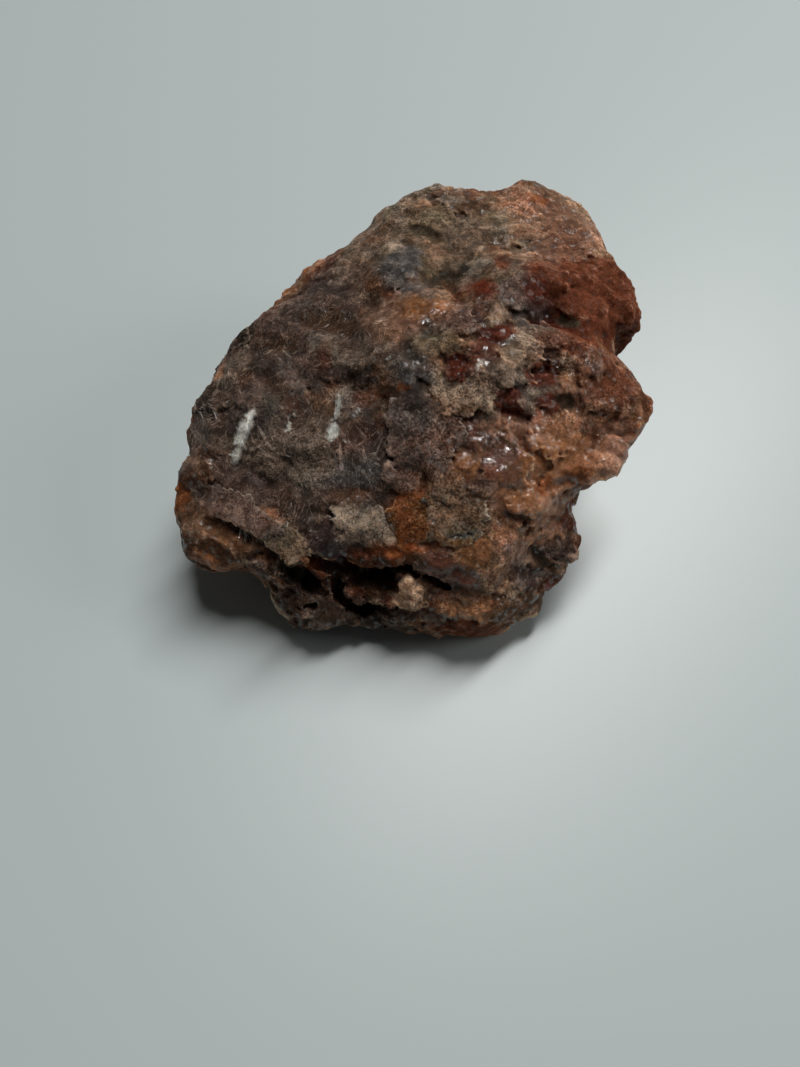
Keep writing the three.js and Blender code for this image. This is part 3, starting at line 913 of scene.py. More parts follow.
# Patches over them: kind, pixel, half width, half height, turn in degrees and strength.
PATCHES = [
    ("salmon", (622, 420), 22, 22, 0, 0.7), ("pink", (596, 452), 24, 20, 0, 0.7),
    ("tan", (560, 436), 34, 18, 0, 0.7), ("tan", (540, 466), 24, 24, 0, 0.7),
    ("tan", (572, 462), 18, 14, 0, 0.7), ("pink", (512, 430), 32, 13, 0, 0.7),
    ("tan", (516, 494), 26, 18, 0, 0.7), ("beige", (482, 506), 24, 22, 0, 0.7),
    ("tan", (502, 530), 16, 12, 0, 0.7), ("pink", (545, 524), 20, 18, 0, 0.7),
    ("mauve", (515, 552), 18, 14, 0, 0.7), ("brown", (556, 495), 16, 14, 0, 0.7),
    ("olive_brown", (440, 240), 70, 44, 0, 0.3), ("felt", (300, 300), 70, 50, -30, 0.4),
    ("dark_brown", (326, 321), 30, 11, 15, 0.9), ("dark_brown", (280, 345), 32, 12, 10, 0.7),
    ("brown", (280, 390), 34, 12, 40, 0.5), ("dark_brown", (366, 390), 26, 10, 15, 0.5),
    ("grey", (226, 380), 16, 26, 10, 0.4), ("grey", (296, 444), 60, 30, -20, 0.8),
    ("mauve", (250, 492), 40, 16, 25, 0.5), ("maroon", (350, 440), 26, 26, -30, 0.4),
    ("honey", (318, 402), 26, 8, 25, 0.35), ("grey", (350, 268), 30, 20, -20, 0.6),
    ("salmon", (560, 226), 52, 36, 15, 0.75), ("rust", (592, 294), 46, 40, 0, 0.9),
    ("rust", (624, 306), 22, 46, 0, 0.8), ("rust", (560, 340), 36, 14, 0, 0.7),
    ("salmon", (614, 410), 46, 54, -20, 0.6), ("rust", (618, 384), 28, 26, -30, 0.7),
    ("pink", (614, 446), 38, 32, -35, 0.65), ("tan", (556, 466), 60, 36, -20, 0.7),
    ("honey", (520, 500), 30, 16, -20, 0.5), ("pink", (540, 520), 34, 30, 0, 0.45),
    ("brown", (228, 540), 60, 20, 15, 0.9), ("honey", (226, 534), 34, 10, 15, 0.4),
    ("beige", (194, 516), 24, 22, 0, 0.4), ("glassy", (322, 540), 17, 22, -20, 0.8),
    ("rust", (318, 566), 20, 10, 5, 0.8), ("dark_brown", (376, 572), 58, 18, 5, 0.8),
    ("brown", (416, 558), 20, 9, 0, 0.7), ("mauve", (310, 606), 60, 24, 8, 0.5),
    ("dark_brown", (316, 612), 60, 18, 8, 0.5), ("dark_brown", (380, 620), 70, 12, 8, 0.5),
    ("rust", (470, 630), 40, 13, 5, 0.95), ("tan", (462, 603), 34, 14, 5, 0.6),
    ("blue", (402, 262), 19, 18, 0, 0.9), ("blue", (362, 476), 15, 12, 0, 0.9),
    ("blue", (418, 292), 22, 9, 0, 0.7), ("blue", (530, 312), 28, 16, 0, 0.7),
    ("blue", (196, 430), 12, 40, 15, 0.5), ("blue", (414, 420), 26, 24, 0, 0.4),
    ("dark_brown", (413, 360), 18, 18, 0, 0.25), ("orange", (388, 320), 38, 22, 10, 0.28),
    ("orange", (408, 518), 17, 25, 0, 0.95), ("orange", (543, 488), 15, 6, -35, 1.0),
    ("orange", (538, 199), 12, 6, 20, 0.8), ("orange", (405, 386), 8, 7, 0, 0.8),
    ("orange", (463, 423), 7, 6, 0, 0.9), ("orange", (312, 560), 14, 8, 10, 0.7),
    ("orange", (574, 474), 16, 7, -10, 0.7), ("rust", (327, 358), 11, 16, 0, 0.6),
    ("rust", (503, 260), 12, 8, 0, 0.8), ("rust", (368, 398), 22, 10, 0, 0.5),
    ("rust", (398, 494), 14, 8, 0, 0.7), ("rust", (616, 420), 9, 6, 0, 0.9),
    ("rust", (626, 324), 12, 24, 0, 0.9), ("red", (495, 332), 22, 9, -15, 1.0),
    ("red", (514, 414), 17, 9, 10, 0.9), ("red", (542, 374), 20, 15, 0, 0.95),
    ("red", (506, 400), 18, 16, 0, 0.9), ("red", (458, 366), 12, 17, 0, 0.9),
    ("red", (548, 402), 12, 12, 0, 0.9), ("frost", (366, 522), 30, 12, 20, 0.8),
    ("cream", (409, 590), 17, 20, 0, 0.95), ("frost", (462, 392), 36, 12, 5, 0.4),
    ("frost", (300, 480), 40, 20, 20, 0.15), ("frost", (396, 244), 12, 9, 0, 0.7),
    ("frost", (524, 340), 20, 10, 30, 0.6), ("pink", (512, 428), 30, 11, 5, 0.8),
    ("frost", (478, 400), 14, 10, 20, 0.5), ("beige", (460, 530), 15, 8, 0, 0.8),
    ("maroon", (454, 574), 28, 10, 12, 0.7), ("brown", (432, 614), 16, 8, 10, 0.7),
    ("pink", (560, 512), 20, 16, 0, 0.5), ("cream", (436, 548), 14, 5, 10, 0.35),
    ("tan", (476, 546), 18, 12, 0, 0.5), ("pink", (498, 572), 22, 7, -15, 0.6),
    ("cream", (520, 532), 14, 3, 0, 0.7), ("pink", (538, 536), 10, 8, 0, 0.5),
    # The shade and dark patches are painted shade in cracks and in the voids under the lip.
    ("shade", (444, 278), 22, 6, -8, 1.0), ("shade", (454, 291), 5, 6, 0, 1.0),
    ("shade", (427, 231), 14, 5, 15, 0.8), ("shade", (405, 242), 5, 4, 0, 0.7),
    ("shade", (507, 258), 12, 4, 0, 0.6), ("shade", (530, 316), 14, 6, 25, 0.5),
    ("shade", (566, 323), 11, 5, 20, 0.9), ("dark", (567, 401), 9, 7, 20, 0.9),
    ("shade", (410, 352), 9, 12, 0, 0.4), ("dark", (243, 331), 8, 13, 10, 0.9),
    ("shade", (386, 404), 8, 5, 0, 0.5), ("shade", (392, 448), 4, 18, -10, 0.5),
    ("dark", (300, 575), 20, 11, 15, 1.0), ("dark", (341, 592), 8, 14, 0, 0.75),
    ("dark", (366, 580), 30, 6, 5, 0.6), ("rust", (366, 566), 36, 7, 5, 0.6),
    ("dark_brown", (368, 610), 20, 8, 5, 0.8), ("dark", (514, 421), 12, 3, 5, 0.4),
    # The white patches are painted reflections of light on flat faces.
    ("dark", (553, 410), 8, 3, 0, 0.6), ("painted_reflection", (243, 436), 4.4, 31, 20, 1.0),
    ("painted_reflection", (290, 422), 2.4, 13, 26, 0.95), ("painted_reflection", (338, 408), 2.2, 14, 12, 0.8),
    ("painted_reflection", (331, 430), 4, 10, 20, 0.95), ("painted_reflection", (354, 410), 1.3, 6, 32, 0.6),
    ("painted_reflection", (478, 365), 3, 7, 15, 0.4), ("painted_reflection", (466, 432), 2, 9, 5, 0.4),
]
# How many patches of some kinds are scattered over the sides that the camera doesn't see.
# The scattered dark patches are painted shade.
SCATTERED = {"orange": 12, "rust": 14, "red": 12, "blue": 12, "dark": 12, "frost": 18, "honey": 14, "tan": 12,
             "salmon": 10, "maroon": 8}
# Where the salt is like sugar, and where fibres and needles lie in tufts: each patch's pixel, half width and
# half height.
SUGARY = [
    ((446, 500), 60, 46), ((425, 432), 40, 40), ((364, 522), 38, 16), ((408, 516), 20, 28),
    ((450, 600), 50, 26), ((300, 460), 60, 40), ((470, 390), 40, 20),
]
TUFTED = [
    ((290, 450), 40, 34), ((280, 508), 46, 16), ((360, 450), 26, 30), ((330, 405), 34, 16),
    ((236, 380), 22, 18), ((360, 522), 30, 14), ((300, 350), 50, 20), ((424, 436), 30, 30),
]
HIDDEN = 30  # mm by which the camera's ray must rise along a face's normal for it to count as hidden
SCATTER_SEED = 23
SCATTERED_WIDTH, SCATTERED_HEIGHT = (1.5, 6.0), (1.5, 5.0)  # half axes of the scattered patches, in mm
SCATTERED_STRENGTH, SCATTERED_EDGE = (0.4, 1.0), 0.75
PATCH_RAGGED = 0.42  # share of a patch's half axes
PATCH_SNAP = 0.25  # how much a patch keeps to whole plates and crystals
STREAK_RAGGED, STREAK_EDGE = 0.2, 0.75  # how ragged the streaks of painted reflection are, beside other patches
STRONG = 0.75  # strength over which a patch has a narrow edge
STRONG_EDGE, WEAK_EDGE, PATCH_END = 0.8, 0.45, 1.1  # where an edge starts and where it ends, in half axes
PALETTE_REACH = 1.25  # half axes within which a palette holds
TINTS = (0.82, 0.36)  # the least brightness of a plate or crystal, and by how much others are brighter
BLEND_ROUNDS = 4  # how often neighbouring plates' salt is blended, which softens their borders
LONG_FANS, SHORT_FANS = (5.5, 61), (2.6, 62)  # how far apart the fans of fibres are, in mm, and their seeds
# The pale band inside plates' rims is frost and, in part, a painted glow of light through the thin rims.
RIM_WIDTH, RIM_EDGE = 0.38, 0.1  # of the pale band inside a plate's rim, and of its outermost part, in mm
RIM_FROST_GLOW, RIM_UNEVEN = 0.6, 0.9  # how strong that band is, and by how much that wanders
CREVICE_SHADE_TINT = np.array([0.36, 0.19, 0.11])  # how dark the painted shade in crevices is, beside open salt
CREVICE_SHADE = 0.9  # how strong that painted shade is
CALM_CREVICES, RIM_CREVICES = 0.6, 0.8  # how much weaker the painted shade is in calm places and on pale rims
SMALL_FORMS, LARGE_FORMS = 0.55, 2.4  # sizes of the ridges and hollows that frost and painted light follow, in mm
RIDGE_SLOPE, HOLLOW_SLOPE, DEEP_SLOPE = 2.2, 2.0, 2.2  # how fast small ones and large hollows come in
DEEP_START = 0.1  # leaves out the shallowest large hollows
# Frost added on small ridges is partly a painted highlight; frost taken out of hollows is painted shade.
RIDGE_FROST_HIGHLIGHT, HOLLOW_SHADE, DEEP_SHADE = 0.5, 0.5, 0.3  # how much frost they add and take away
LEAST_SUGARY, SUGARY_UNEVEN = 0.4, 0.5  # how sugary the salt is anywhere, and by how much that wanders
GLASSY_SUGAR = 0.6  # how much of it glassy places lose
LIGHT_BLOTCHES, WARM_BLOTCHES = 0.55, 0.30  # how strong the blotches of brightness and of hue are
FAN_WANDER = 0.5  # how far the borders between fans wander, in mm
GLASSY_CHANGE = np.array([-0.12, 0.35, 0.3])  # of frost, gloss and clearness in glassy places


COVER, GLOSS, CLEAR = 3, 4, 5  # the columns of frost, gloss and clearness, after three of colour


def hidden_places(count, random):
    """Places and normals on the sides that the camera doesn't see."""
    areas, middles, normals = cad_faces
    away = np.einsum("ij,ij->i", middles - EYE, normals) > HIDDEN
    weights = areas * away
    chosen = random.choice(len(areas), count, p=weights / weights.sum())
    return zip(middles[chosen], normals[chosen])


def kind_row(kind):
    """A kind's numbers in one row: three for its colour, and then COVER, GLOSS and CLEAR."""
    colour, cover, gloss, clear = KINDS[kind]
    return np.array([*colour, cover, gloss, clear], np.float32)


def anchors(points, field):
    """The plate that each point belongs to, or 0, and how far inside that plate's rim it is."""
    cell = np.clip(np.round(points / VOXEL).astype(int) - field.low, 0, np.array(field.values.shape) - 1)
    number = field.plate[tuple(cell.T)]
    return number, np.where(number > 0, field.sample(field.rim, points), -BAND)


def owners(points, number, plates):
    """The middle of the plate or crystal that each point belongs to, and a repeatable number for it."""
    _, _, away, owner = cells(warped(points), BIG_CRYSTALS["size"], BIG_CRYSTALS["seed"])
    middle = points - away * np.float32(BIG_CRYSTALS["size"])
    on_plate = number > 0
    places = np.array([[0, 0, 0]] + [spot.place for spot, _, _ in plates], np.float32)
    middle[on_plate] = places[number[on_plate]]
    return middle, np.where(on_plate, lattice_hash(number, number, number, 77), owner)


def base_salt(number, middle, hashed, plates):
    """The colour, frost, gloss and clearness of each point by its plate or crystal alone."""
    seen = project(middle)
    distances = [patch_distance(seen, u, v, wide, high) for (u, v), wide, high, _ in PALETTES]
    elsewhere = np.full(len(middle), PALETTE_REACH, np.float32)
    nearest = np.argmin([elsewhere] + distances, axis=0)
    rows = np.empty((len(middle), CLEAR + 1), np.float32)
    for i, kinds in enumerate([ELSEWHERE] + [kinds for *_, kinds in PALETTES]):
        choice = np.array([kind_row(kind) for kind in kinds])
        here = nearest == i
        pick = (share(hashed[here], 9) * (len(kinds) - 0.001)).astype(int)
        rows[here] = choice[pick]
    for i, (_, _, kind) in enumerate(plates, 1):
        if kind:
            rows[number == i] = kind_row(kind)
    rows[:, :COVER] *= (TINTS[0] + TINTS[1] * share(hashed, 10))[:, None]
    return rows


def blended(values, triangles, rounds):
    """Values at the points of a mesh, each moved towards those of the points round it."""
    a, b = edges(triangles)
    for _ in range(rounds):
        total = values.copy()
        for column in range(values.shape[1]):
            total[:, column] += np.bincount(a, values[b, column], len(values))
            total[:, column] += np.bincount(b, values[a, column], len(values))
        counts = 1 + np.bincount(a, minlength=len(values)) + np.bincount(b, minlength=len(values))
        values = total / counts[:, None].astype(np.float32)
    return values


def patch_masks(points, middle):
    """Each patch's kind with how much of it is at each point."""
    random = np.random.default_rng(SCATTER_SEED)
    snapped = points + (middle - points) * np.float32(PATCH_SNAP)
    seen = project(snapped)
    ragged = PATCH_RAGGED * fractal(points, 1.8, 300, 4, 0.8)
    for kind, (u, v), wide, high, turn, strength in PATCHES:
        distance = patch_distance(seen, u, v, wide, high, turn)
        # White streaks are painted reflections of light, with an edge of their own.
        streak = kind == "painted_reflection"
        edge = STREAK_EDGE if streak else STRONG_EDGE if strength > STRONG else WEAK_EDGE
        distance += ragged * (STREAK_RAGGED if streak else 1.0)
        yield kind, strength * (1 - fade(distance, edge, PATCH_END))
    for kind, count in SCATTERED.items():
        for place, normal in hidden_places(count, random):
            spot = spot_on(place, normal, random.uniform(*SCATTERED_WIDTH), random.uniform(*SCATTERED_HEIGHT))
            strength = random.uniform(*SCATTERED_STRENGTH)
            yield kind, strength * (1 - fade(spot.distance(snapped) + ragged, SCATTERED_EDGE, PATCH_END))


def steps(field, reach):
    """A grid that is above 0 on ridges and below 0 in hollows about as wide as reach."""
    return blurred(np.clip(field.values, -reach, reach), reach) / reach


def ridges_and_hollows(points, field, relief):
    """How much each point is on a small ridge, in a small hollow and in a large hollow."""
    small, large = (field.sample(grid, points) for grid in relief)
    ridge = np.clip(RIDGE_SLOPE * small, 0, 1)
    hollow = np.clip(-HOLLOW_SLOPE * small, 0, 1)
    return ridge, hollow, np.clip(-DEEP_SLOPE * large - DEEP_START, 0, 1)


def blotches(points):
    """Shares of colour that wander over the lump from dark to light and from red to grey."""
    light = np.exp(LIGHT_BLOTCHES * fractal(points, 2.4, 81, 3, 0.7))
    warm = WARM_BLOTCHES * fractal(points, 3.6, 82, 3, 0.6)
    return light[:, None] * np.stack([1 + warm, 1 - 0.3 * warm, 1 - 1.1 * warm], 1)


def fan_roots(points, size, seed):
    """For each point, the nearest of some places scattered over the surface about size apart, in mm."""
    random = np.random.default_rng(seed)
    areas, middles, _ = cad_faces
    chosen = random.choice(len(areas), int(areas.sum() / size**2), p=areas / areas.sum())
    tree = KDTree(len(chosen))
    for i, face in enumerate(chosen):
        tree.insert(middles[face], i)
    tree.balance()
    moved = wandering(points, 1.2, seed, 1, FAN_WANDER)
    nearest = np.array([tree.find(point)[1] for point in moved.tolist()])
    return middles[chosen[nearest]]


def add_layer(mesh, name, kind, member, values):
    """Keeps a value for each point on the mesh, where the material's nodes can read it."""
    layer = mesh.attributes.new(name, kind, "POINT")
    layer.data.foreach_set(member, values.astype(np.float32).ravel())


def salt_rows(points, triangles, number, plates):
    """The colour, frost, gloss and clearness of each point, before the relief changes them."""
    middle, hashed = owners(points, number, plates)
    rows = blended(base_salt(number, middle, hashed, plates), triangles, BLEND_ROUNDS)
    rows[:, :COVER] *= blotches(points)
    for kind, amount in patch_masks(points, middle):
        rows += (kind_row(kind) - rows) * amount[:, None]
    return rows


def paint(piece, field, plates, number, rim, relief):
    """Writes the salt onto the mesh for the material's nodes, and says how much each point bears needles."""
    points, triangles = mesh_arrays(piece.data)
    seen = project(points)
    glassy, calm, felt = (region(seen, spots) for spots in (GLASSY, CALM, FELT))
    rows = salt_rows(points, triangles, number, plates)
    ridge, hollow, deep = ridges_and_hollows(points, field, relief)
    # Pale band inside plates' rims: frost, and in part a painted glow of light through the thin rims.
    near_rim = fade(rim, -RIM_WIDTH, -RIM_EDGE) * (rim > -BAND / 2)
    near_rim *= np.clip(RIM_FROST_GLOW + RIM_UNEVEN * fractal(points, 2.5, 83, 2), 0, 1)
    # More frost on small ridges, partly a painted highlight; less in hollows, as painted shade.
    rows[:, COVER] += RIDGE_FROST_HIGHLIGHT * (0.2 + rows[:, COVER]) * ridge - HOLLOW_SHADE * hollow - DEEP_SHADE * deep
    rows[:, COVER:] += glassy[:, None] * GLASSY_CHANGE
    # Painted shade: the salt is darkened in small and large hollows, where shade falls.
    painted_shade = CREVICE_SHADE * (hollow + deep) * (1 - CALM_CREVICES * calm)
    painted_shade = np.clip(painted_shade, 0, 1)[:, None] * (1 - CREVICE_SHADE_TINT)
    rows[:, :COVER] *= 1 - painted_shade * (1 - RIM_CREVICES * near_rim[:, None])
    anywhere = LEAST_SUGARY + SUGARY_UNEVEN * fade(fractal(points, 6.0, 85, 2), -0.1, 0.5)
    sugary = np.maximum(region(seen, SUGARY), anywhere) * (1 - GLASSY_SUGAR * glassy)
    tufted = np.maximum(region(seen, TUFTED), fade(fractal(points, 4.0, 84, 2), 0.1, 0.5)) * (1 - deep)
    add_layer(piece.data, "long_fan", "FLOAT_VECTOR", "vector", fan_roots(points, *LONG_FANS) * MM)
    add_layer(piece.data, "short_fan", "FLOAT_VECTOR", "vector", fan_roots(points, *SHORT_FANS) * MM)
    colour = np.concatenate([rows[:, :COVER], np.ones((len(rows), 1))], 1)
    add_layer(piece.data, "salt", "FLOAT_COLOR", "color", colour)
    layers = {"cover": rows[:, COVER], "gloss": rows[:, GLOSS], "clear": rows[:, CLEAR], "felt": felt,
              "tufted": tufted, "rim": near_rim, "sugary": sugary}
    for name, values in layers.items():
        add_layer(piece.data, name, "FLOAT", "value", values)
    return felt * tufted * (1 - deep)


# ---------------------------------------------------------------------------------------------------------
# The salt's material
# ---------------------------------------------------------------------------------------------------------
# Frost, fibres and rims are paler than the salt that they lie on, the rims partly as a painted glow of light
# through them: how many times brighter, the colour that they tend to and how much of it they have.
FROST = (2.3, (0.440, 0.335, 0.255), 0.35)
FIBRES = (4.0, (0.480, 0.400, 0.330), 0.5)
RIM = (3.0, (0.600, 0.470, 0.360), 0.4)
FROST_OPACITY, FIBRE_OPACITY = 0.85, 0.85
HALITE_IOR = 1.54
SCATTER_RADIUS = (1.0, 0.7, 0.5)  # how much farther red light runs inside the salt
SCATTER_LENGTH = 1.6  # mm
FINE_GRAIN, MIDDLING_GRAIN = 0.36, 1.5  # sizes of the specks and blotches, in mm
SHARD_SIZE = 1.5  # mm between the places that sugary salt's shards spread from
SHARD_STRENGTH, SPECK_STRENGTH = 0.5, 0.9  # of the frost in sugary places
FAN_SPACING = 200.0  # moves each fan to its own part of the noise
GLINT_SIZE = 0.7  # of the crystal faces that may glint, in mm
GLINT_LEVELS = (0.78, 0.80)  # a face glints when its random number is over these
GLINT_SHINE = 0.9
FACETS = ((0.9, 0.8), (0.45, 0.7))  # sizes of the facets that bump the surface, in mm, and their strengths
FACET_SCALE = 1000.0  # facets' heights are in metres and bump distances in mm
FROST_BUMP, FIBRE_BUMP = 0.12, 0.20  # mm


class Nodes:
    """Short names for making and joining the nodes of one material."""

    def __init__(self, material):
        material.use_nodes = True
        self.tree = material.node_tree
        self.shader = self.tree.nodes["Principled BSDF"]
        self.place = self.node("ShaderNodeTexCoord").outputs["Object"]

    def node(self, kind, **settings):
        made = self.tree.nodes.new(kind)
        for name, value in settings.items():
            setattr(made, name, value)
        return made

    def feed(self, socket, value):
        if isinstance(value, bpy.types.NodeSocket):
            self.tree.links.new(value, socket)
        elif socket.type == "RGBA":
            socket.default_value = (*value, 1) if isinstance(value, tuple) else (value, value, value, 1)
        else:
            socket.default_value = value

    def fed(self, made, values, output=0):
        """The output of a node whose first inputs are given these values."""
        for socket, value in zip(made.inputs, values):
            self.feed(socket, value)
        return made.outputs[output]

    def layer(self, name, output="Fac"):
        return self.node("ShaderNodeAttribute", attribute_name=name).outputs[output]

    def maths(self, operation, *values):
        return self.fed(self.node("ShaderNodeMath", operation=operation), values)

    def times(self, *values):
        return self.maths("MULTIPLY", *values)

    def vectors(self, operation, *values, output="Vector"):
        return self.fed(self.node("ShaderNodeVectorMath", operation=operation), values, output)

    def mix(self, share_of_second, first, second, blend="MIX"):
        made = self.node("ShaderNodeMix", data_type="RGBA", blend_type=blend, clamp_factor=True)
        for socket, value in ((0, share_of_second), (6, first), (7, second)):
            self.feed(made.inputs[socket], value)
        return made.outputs[2]

    def brighter(self, colour, times):
        return self.mix(1.0, colour, times, "MULTIPLY")

    def ramp(self, value, low, high, to_low=0.0, to_high=1.0):
        made = self.node("ShaderNodeMapRange", interpolation_type="SMOOTHSTEP")
        return self.fed(made, (value, low, high, to_low, to_high))

    def noise_at(self, place, scale, detail, rough):
        """Noise about 0.5 at a place, with lumps of about 1 / scale in the place's own units."""
        made = self.node("ShaderNodeTexNoise")
        self.feed(made.inputs["Vector"], place)
        made.inputs["Scale"].default_value = scale
        made.inputs["Detail"].default_value = detail
        made.inputs["Roughness"].default_value = rough
        return made.outputs["Fac"]

    def noise(self, size, detail=3.0, rough=0.55):
        """Noise about 0.5 whose lumps are about size in mm."""
        return self.noise_at(self.place, 1 / (size * MM), detail, rough)

    def cells(self, size):
        """A node that parts the surface into grains about size in mm."""
        made = self.node("ShaderNodeTexVoronoi", feature="F1")
        self.feed(made.inputs["Vector"], self.place)
        made.inputs["Scale"].default_value = 1 / (size * MM)
        return made

    def cell_number(self, size):
        """A random number from 0 to 1 for each grain."""
        return self.fed(self.node("ShaderNodeSeparateColor"), [self.cells(size).outputs["Color"]])

    def fans(self, root, fineness, low, high):
        """Thin lines that spread over the surface from the places that root gives."""
        way = self.vectors("NORMALIZE", self.vectors("SUBTRACT", self.place, root))
        moved = self.vectors("ADD", way, self.vectors("MULTIPLY", root, (FAN_SPACING,) * 3))
        return self.ramp(self.noise_at(moved, fineness, 2.0, 0.7), low, high)

    def facets(self, size):
        """The height in metres of flat faces about size across, each with its own slope."""
        made = self.cells(size)
        slope = self.vectors("SUBTRACT", made.outputs["Color"], (0.5, 0.5, 0.5))
        offset = self.vectors("SUBTRACT", self.place, made.outputs["Position"])
        return self.vectors("DOT_PRODUCT", offset, slope, output="Value")

    def bump(self, height, distance, strength, normal=None):
        made = self.node("ShaderNodeBump")
        self.feed(made.inputs["Height"], height)
        made.inputs["Distance"].default_value = distance * MM
        self.feed(made.inputs["Strength"], strength)
        if normal is not None:
            self.feed(made.inputs["Normal"], normal)
        return made.outputs[0]


def salt_frost(n, fine, middling):
    """How much frost covers the salt: in shards and specks where it is sugary."""
    root = n.cells(SHARD_SIZE).outputs["Position"]
    shards = n.times(n.maths("SUBTRACT", n.fans(root, 2.4, 0.44, 0.56), 0.5), SHARD_STRENGTH)
    specks = n.times(n.maths("SUBTRACT", fine, 0.5), SPECK_STRENGTH)
    grains = n.times(n.maths("ADD", shards, specks), n.layer("sugary"))
    cover = n.maths("ADD", n.layer("cover"), n.ramp(middling, 0.3, 0.7, -0.2, 0.2))
    return n.times(n.ramp(n.maths("ADD", cover, grains), 0.15, 0.75), n.ramp(n.layer("cover"), 0.0, 0.2))


def salt_fibres(n, middling, felt):
    """Where pale fibres lie, thickest in tufts on the felt."""
    long, short = n.layer("long_fan", "Vector"), n.layer("short_fan", "Vector")
    fibres = n.maths("MAXIMUM", n.fans(long, 8.0, 0.54, 0.64), n.fans(short, 5.0, 0.56, 0.64))
    here = n.times(n.ramp(felt, 0.0, 1.0, 0.15, 1.0), n.ramp(n.layer("tufted"), 0.0, 1.0, 0.5, 1.0))
    return n.times(n.times(fibres, here), n.ramp(middling, 0.35, 0.6, 0.4, 1.0))


def paler(n, colour, look):
    """A colour made brighter and moved towards another, as FROST, FIBRES and RIM say."""
    times, towards, amount = look
    return n.mix(amount, n.brighter(colour, times), towards)


def salt_colour(n, fine, middling, frost, fibres):
    """The painted salt with specks; over it frost, fibres and plates' pale rims, in part a painted glow."""
    darkest = n.ramp(n.layer("sugary"), 0.3, 1.0, 0.8, 0.64)
    brightest = n.ramp(n.layer("sugary"), 0.3, 1.0, 1.22, 1.5)
    speckled = n.ramp(fine, 0.36, 0.64, darkest, brightest)
    uneven = n.times(n.ramp(middling, 0.32, 0.68, 0.72, 1.35), speckled)
    colour = n.brighter(n.layer("salt", "Color"), uneven)
    frosty, threads = paler(n, colour, FROST), paler(n, colour, FIBRES)
    colour = n.mix(n.times(frost, FROST_OPACITY), colour, frosty)
    colour = n.mix(n.times(fibres, FIBRE_OPACITY), colour, threads)
    # The pale rims are partly a painted glow of light through them.
    rim = n.times(n.layer("rim"), n.ramp(fine, 0.3, 0.55, 0.15, 0.65))
    return n.mix(rim, colour, paler(n, colour, RIM))


def salt_gloss(n, gloss, frost):
    """The roughness and the specular level, with a few faces that glint."""
    glint = n.times(n.ramp(n.cell_number(GLINT_SIZE), *GLINT_LEVELS), n.ramp(gloss, 0.0, 0.2, 0.15, 1.0))
    rough = n.maths("ADD", n.ramp(gloss, 0.0, 0.9, 0.6, 0.12), n.times(frost, 0.2))
    rough = n.times(rough, n.ramp(glint, 0.0, 1.0, 1.0, 0.4))
    return rough, n.maths("MAXIMUM", n.ramp(gloss, 0.1, 0.8, 0.04, 0.5), n.times(glint, GLINT_SHINE))


def salt_bumps(n, gloss, felt, frost, fibres):
    """The normal of small facets, which are calmer on gloss and felt, with frost and fibres on them."""
    matt = n.times(n.ramp(gloss, 0.0, 0.9, 1.0, 0.7), n.ramp(felt, 0.0, 1.0, 1.0, 0.6))
    matt = n.times(matt, n.ramp(n.layer("sugary"), 0.3, 1.0, 0.5, 1.0))
    normal = None
    for size, strength in FACETS:
        normal = n.bump(n.facets(size), FACET_SCALE, n.times(matt, strength), normal)
    normal = n.bump(frost, FROST_BUMP, 1.0, normal)
    return n.bump(fibres, FIBRE_BUMP, 1.0, normal)


def make_salt():
    material = bpy.data.materials.new("halite")
    n = Nodes(material)
    fine, middling = n.noise(FINE_GRAIN, 2.0, 0.7), n.noise(MIDDLING_GRAIN, 4.0, 0.65)
    felt, gloss = n.ramp(n.layer("felt"), 0.1, 0.6), n.layer("gloss")
    frost = salt_frost(n, fine, middling)
    fibres = salt_fibres(n, middling, felt)
    rough, shine = salt_gloss(n, gloss, frost)
    n.feed(n.shader.inputs["Base Color"], salt_colour(n, fine, middling, frost, fibres))
    n.feed(n.shader.inputs["Roughness"], rough)
    n.feed(n.shader.inputs["Specular IOR Level"], shine)
    n.feed(n.shader.inputs["Subsurface Weight"], n.ramp(n.layer("clear"), 0.1, 0.4, 0.5, 1.0))
    n.feed(n.shader.inputs["Normal"], salt_bumps(n, gloss, felt, frost, fibres))
    n.shader.inputs["IOR"].default_value = HALITE_IOR
    n.shader.inputs["Subsurface Radius"].default_value = SCATTER_RADIUS
    n.shader.inputs["Subsurface Scale"].default_value = SCATTER_LENGTH * MM
    return material


# ---------------------------------------------------------------------------------------------------------
# Frost needles
# ---------------------------------------------------------------------------------------------------------
TUFTS = 1650
TUFT_NEEDLES = (6, 22)
NEEDLE_LENGTH = (1.2, 4.2)
NEEDLE_WIDTH = (0.07, 0.13)
NEEDLE_STOPS = (0.0, 0.3, 0.7, 1.0)  # shares of its length where a needle may bend
NEEDLE_LIFT = (0.02, 0.10, 0.13, 0.16)  # how high it stands there, in mm
NEEDLE_BEND = 0.5  # the most it turns at a stop, in radians
NEEDLE_STRAY = 0.4  # the most it may leave the plane of its tuft, in mm
TUFT_RADIUS = 0.5  # mm
TUFT_SPREAD = (0.2, 1.2)  # half the angle over which a tuft's needles spread, in radians
SLANT = (0.3, 0.5, 0.8)  # a direction that hardly any normal has
LEAST_UP = -0.2  # height of the normal under which a face bears no tufts
NEEDLE_POINTS = 8  # of one needle's mesh
NEEDLE_SEED = 31
NEEDLE_COLOURS = ((0.66, 0.60, 0.54), (0.56, 0.47, 0.40))
NEEDLE_SHADES = (0.35, 1.1)  # brightness of the darkest and of the brightest needle
NEEDLE_ROUGHNESS = 0.35


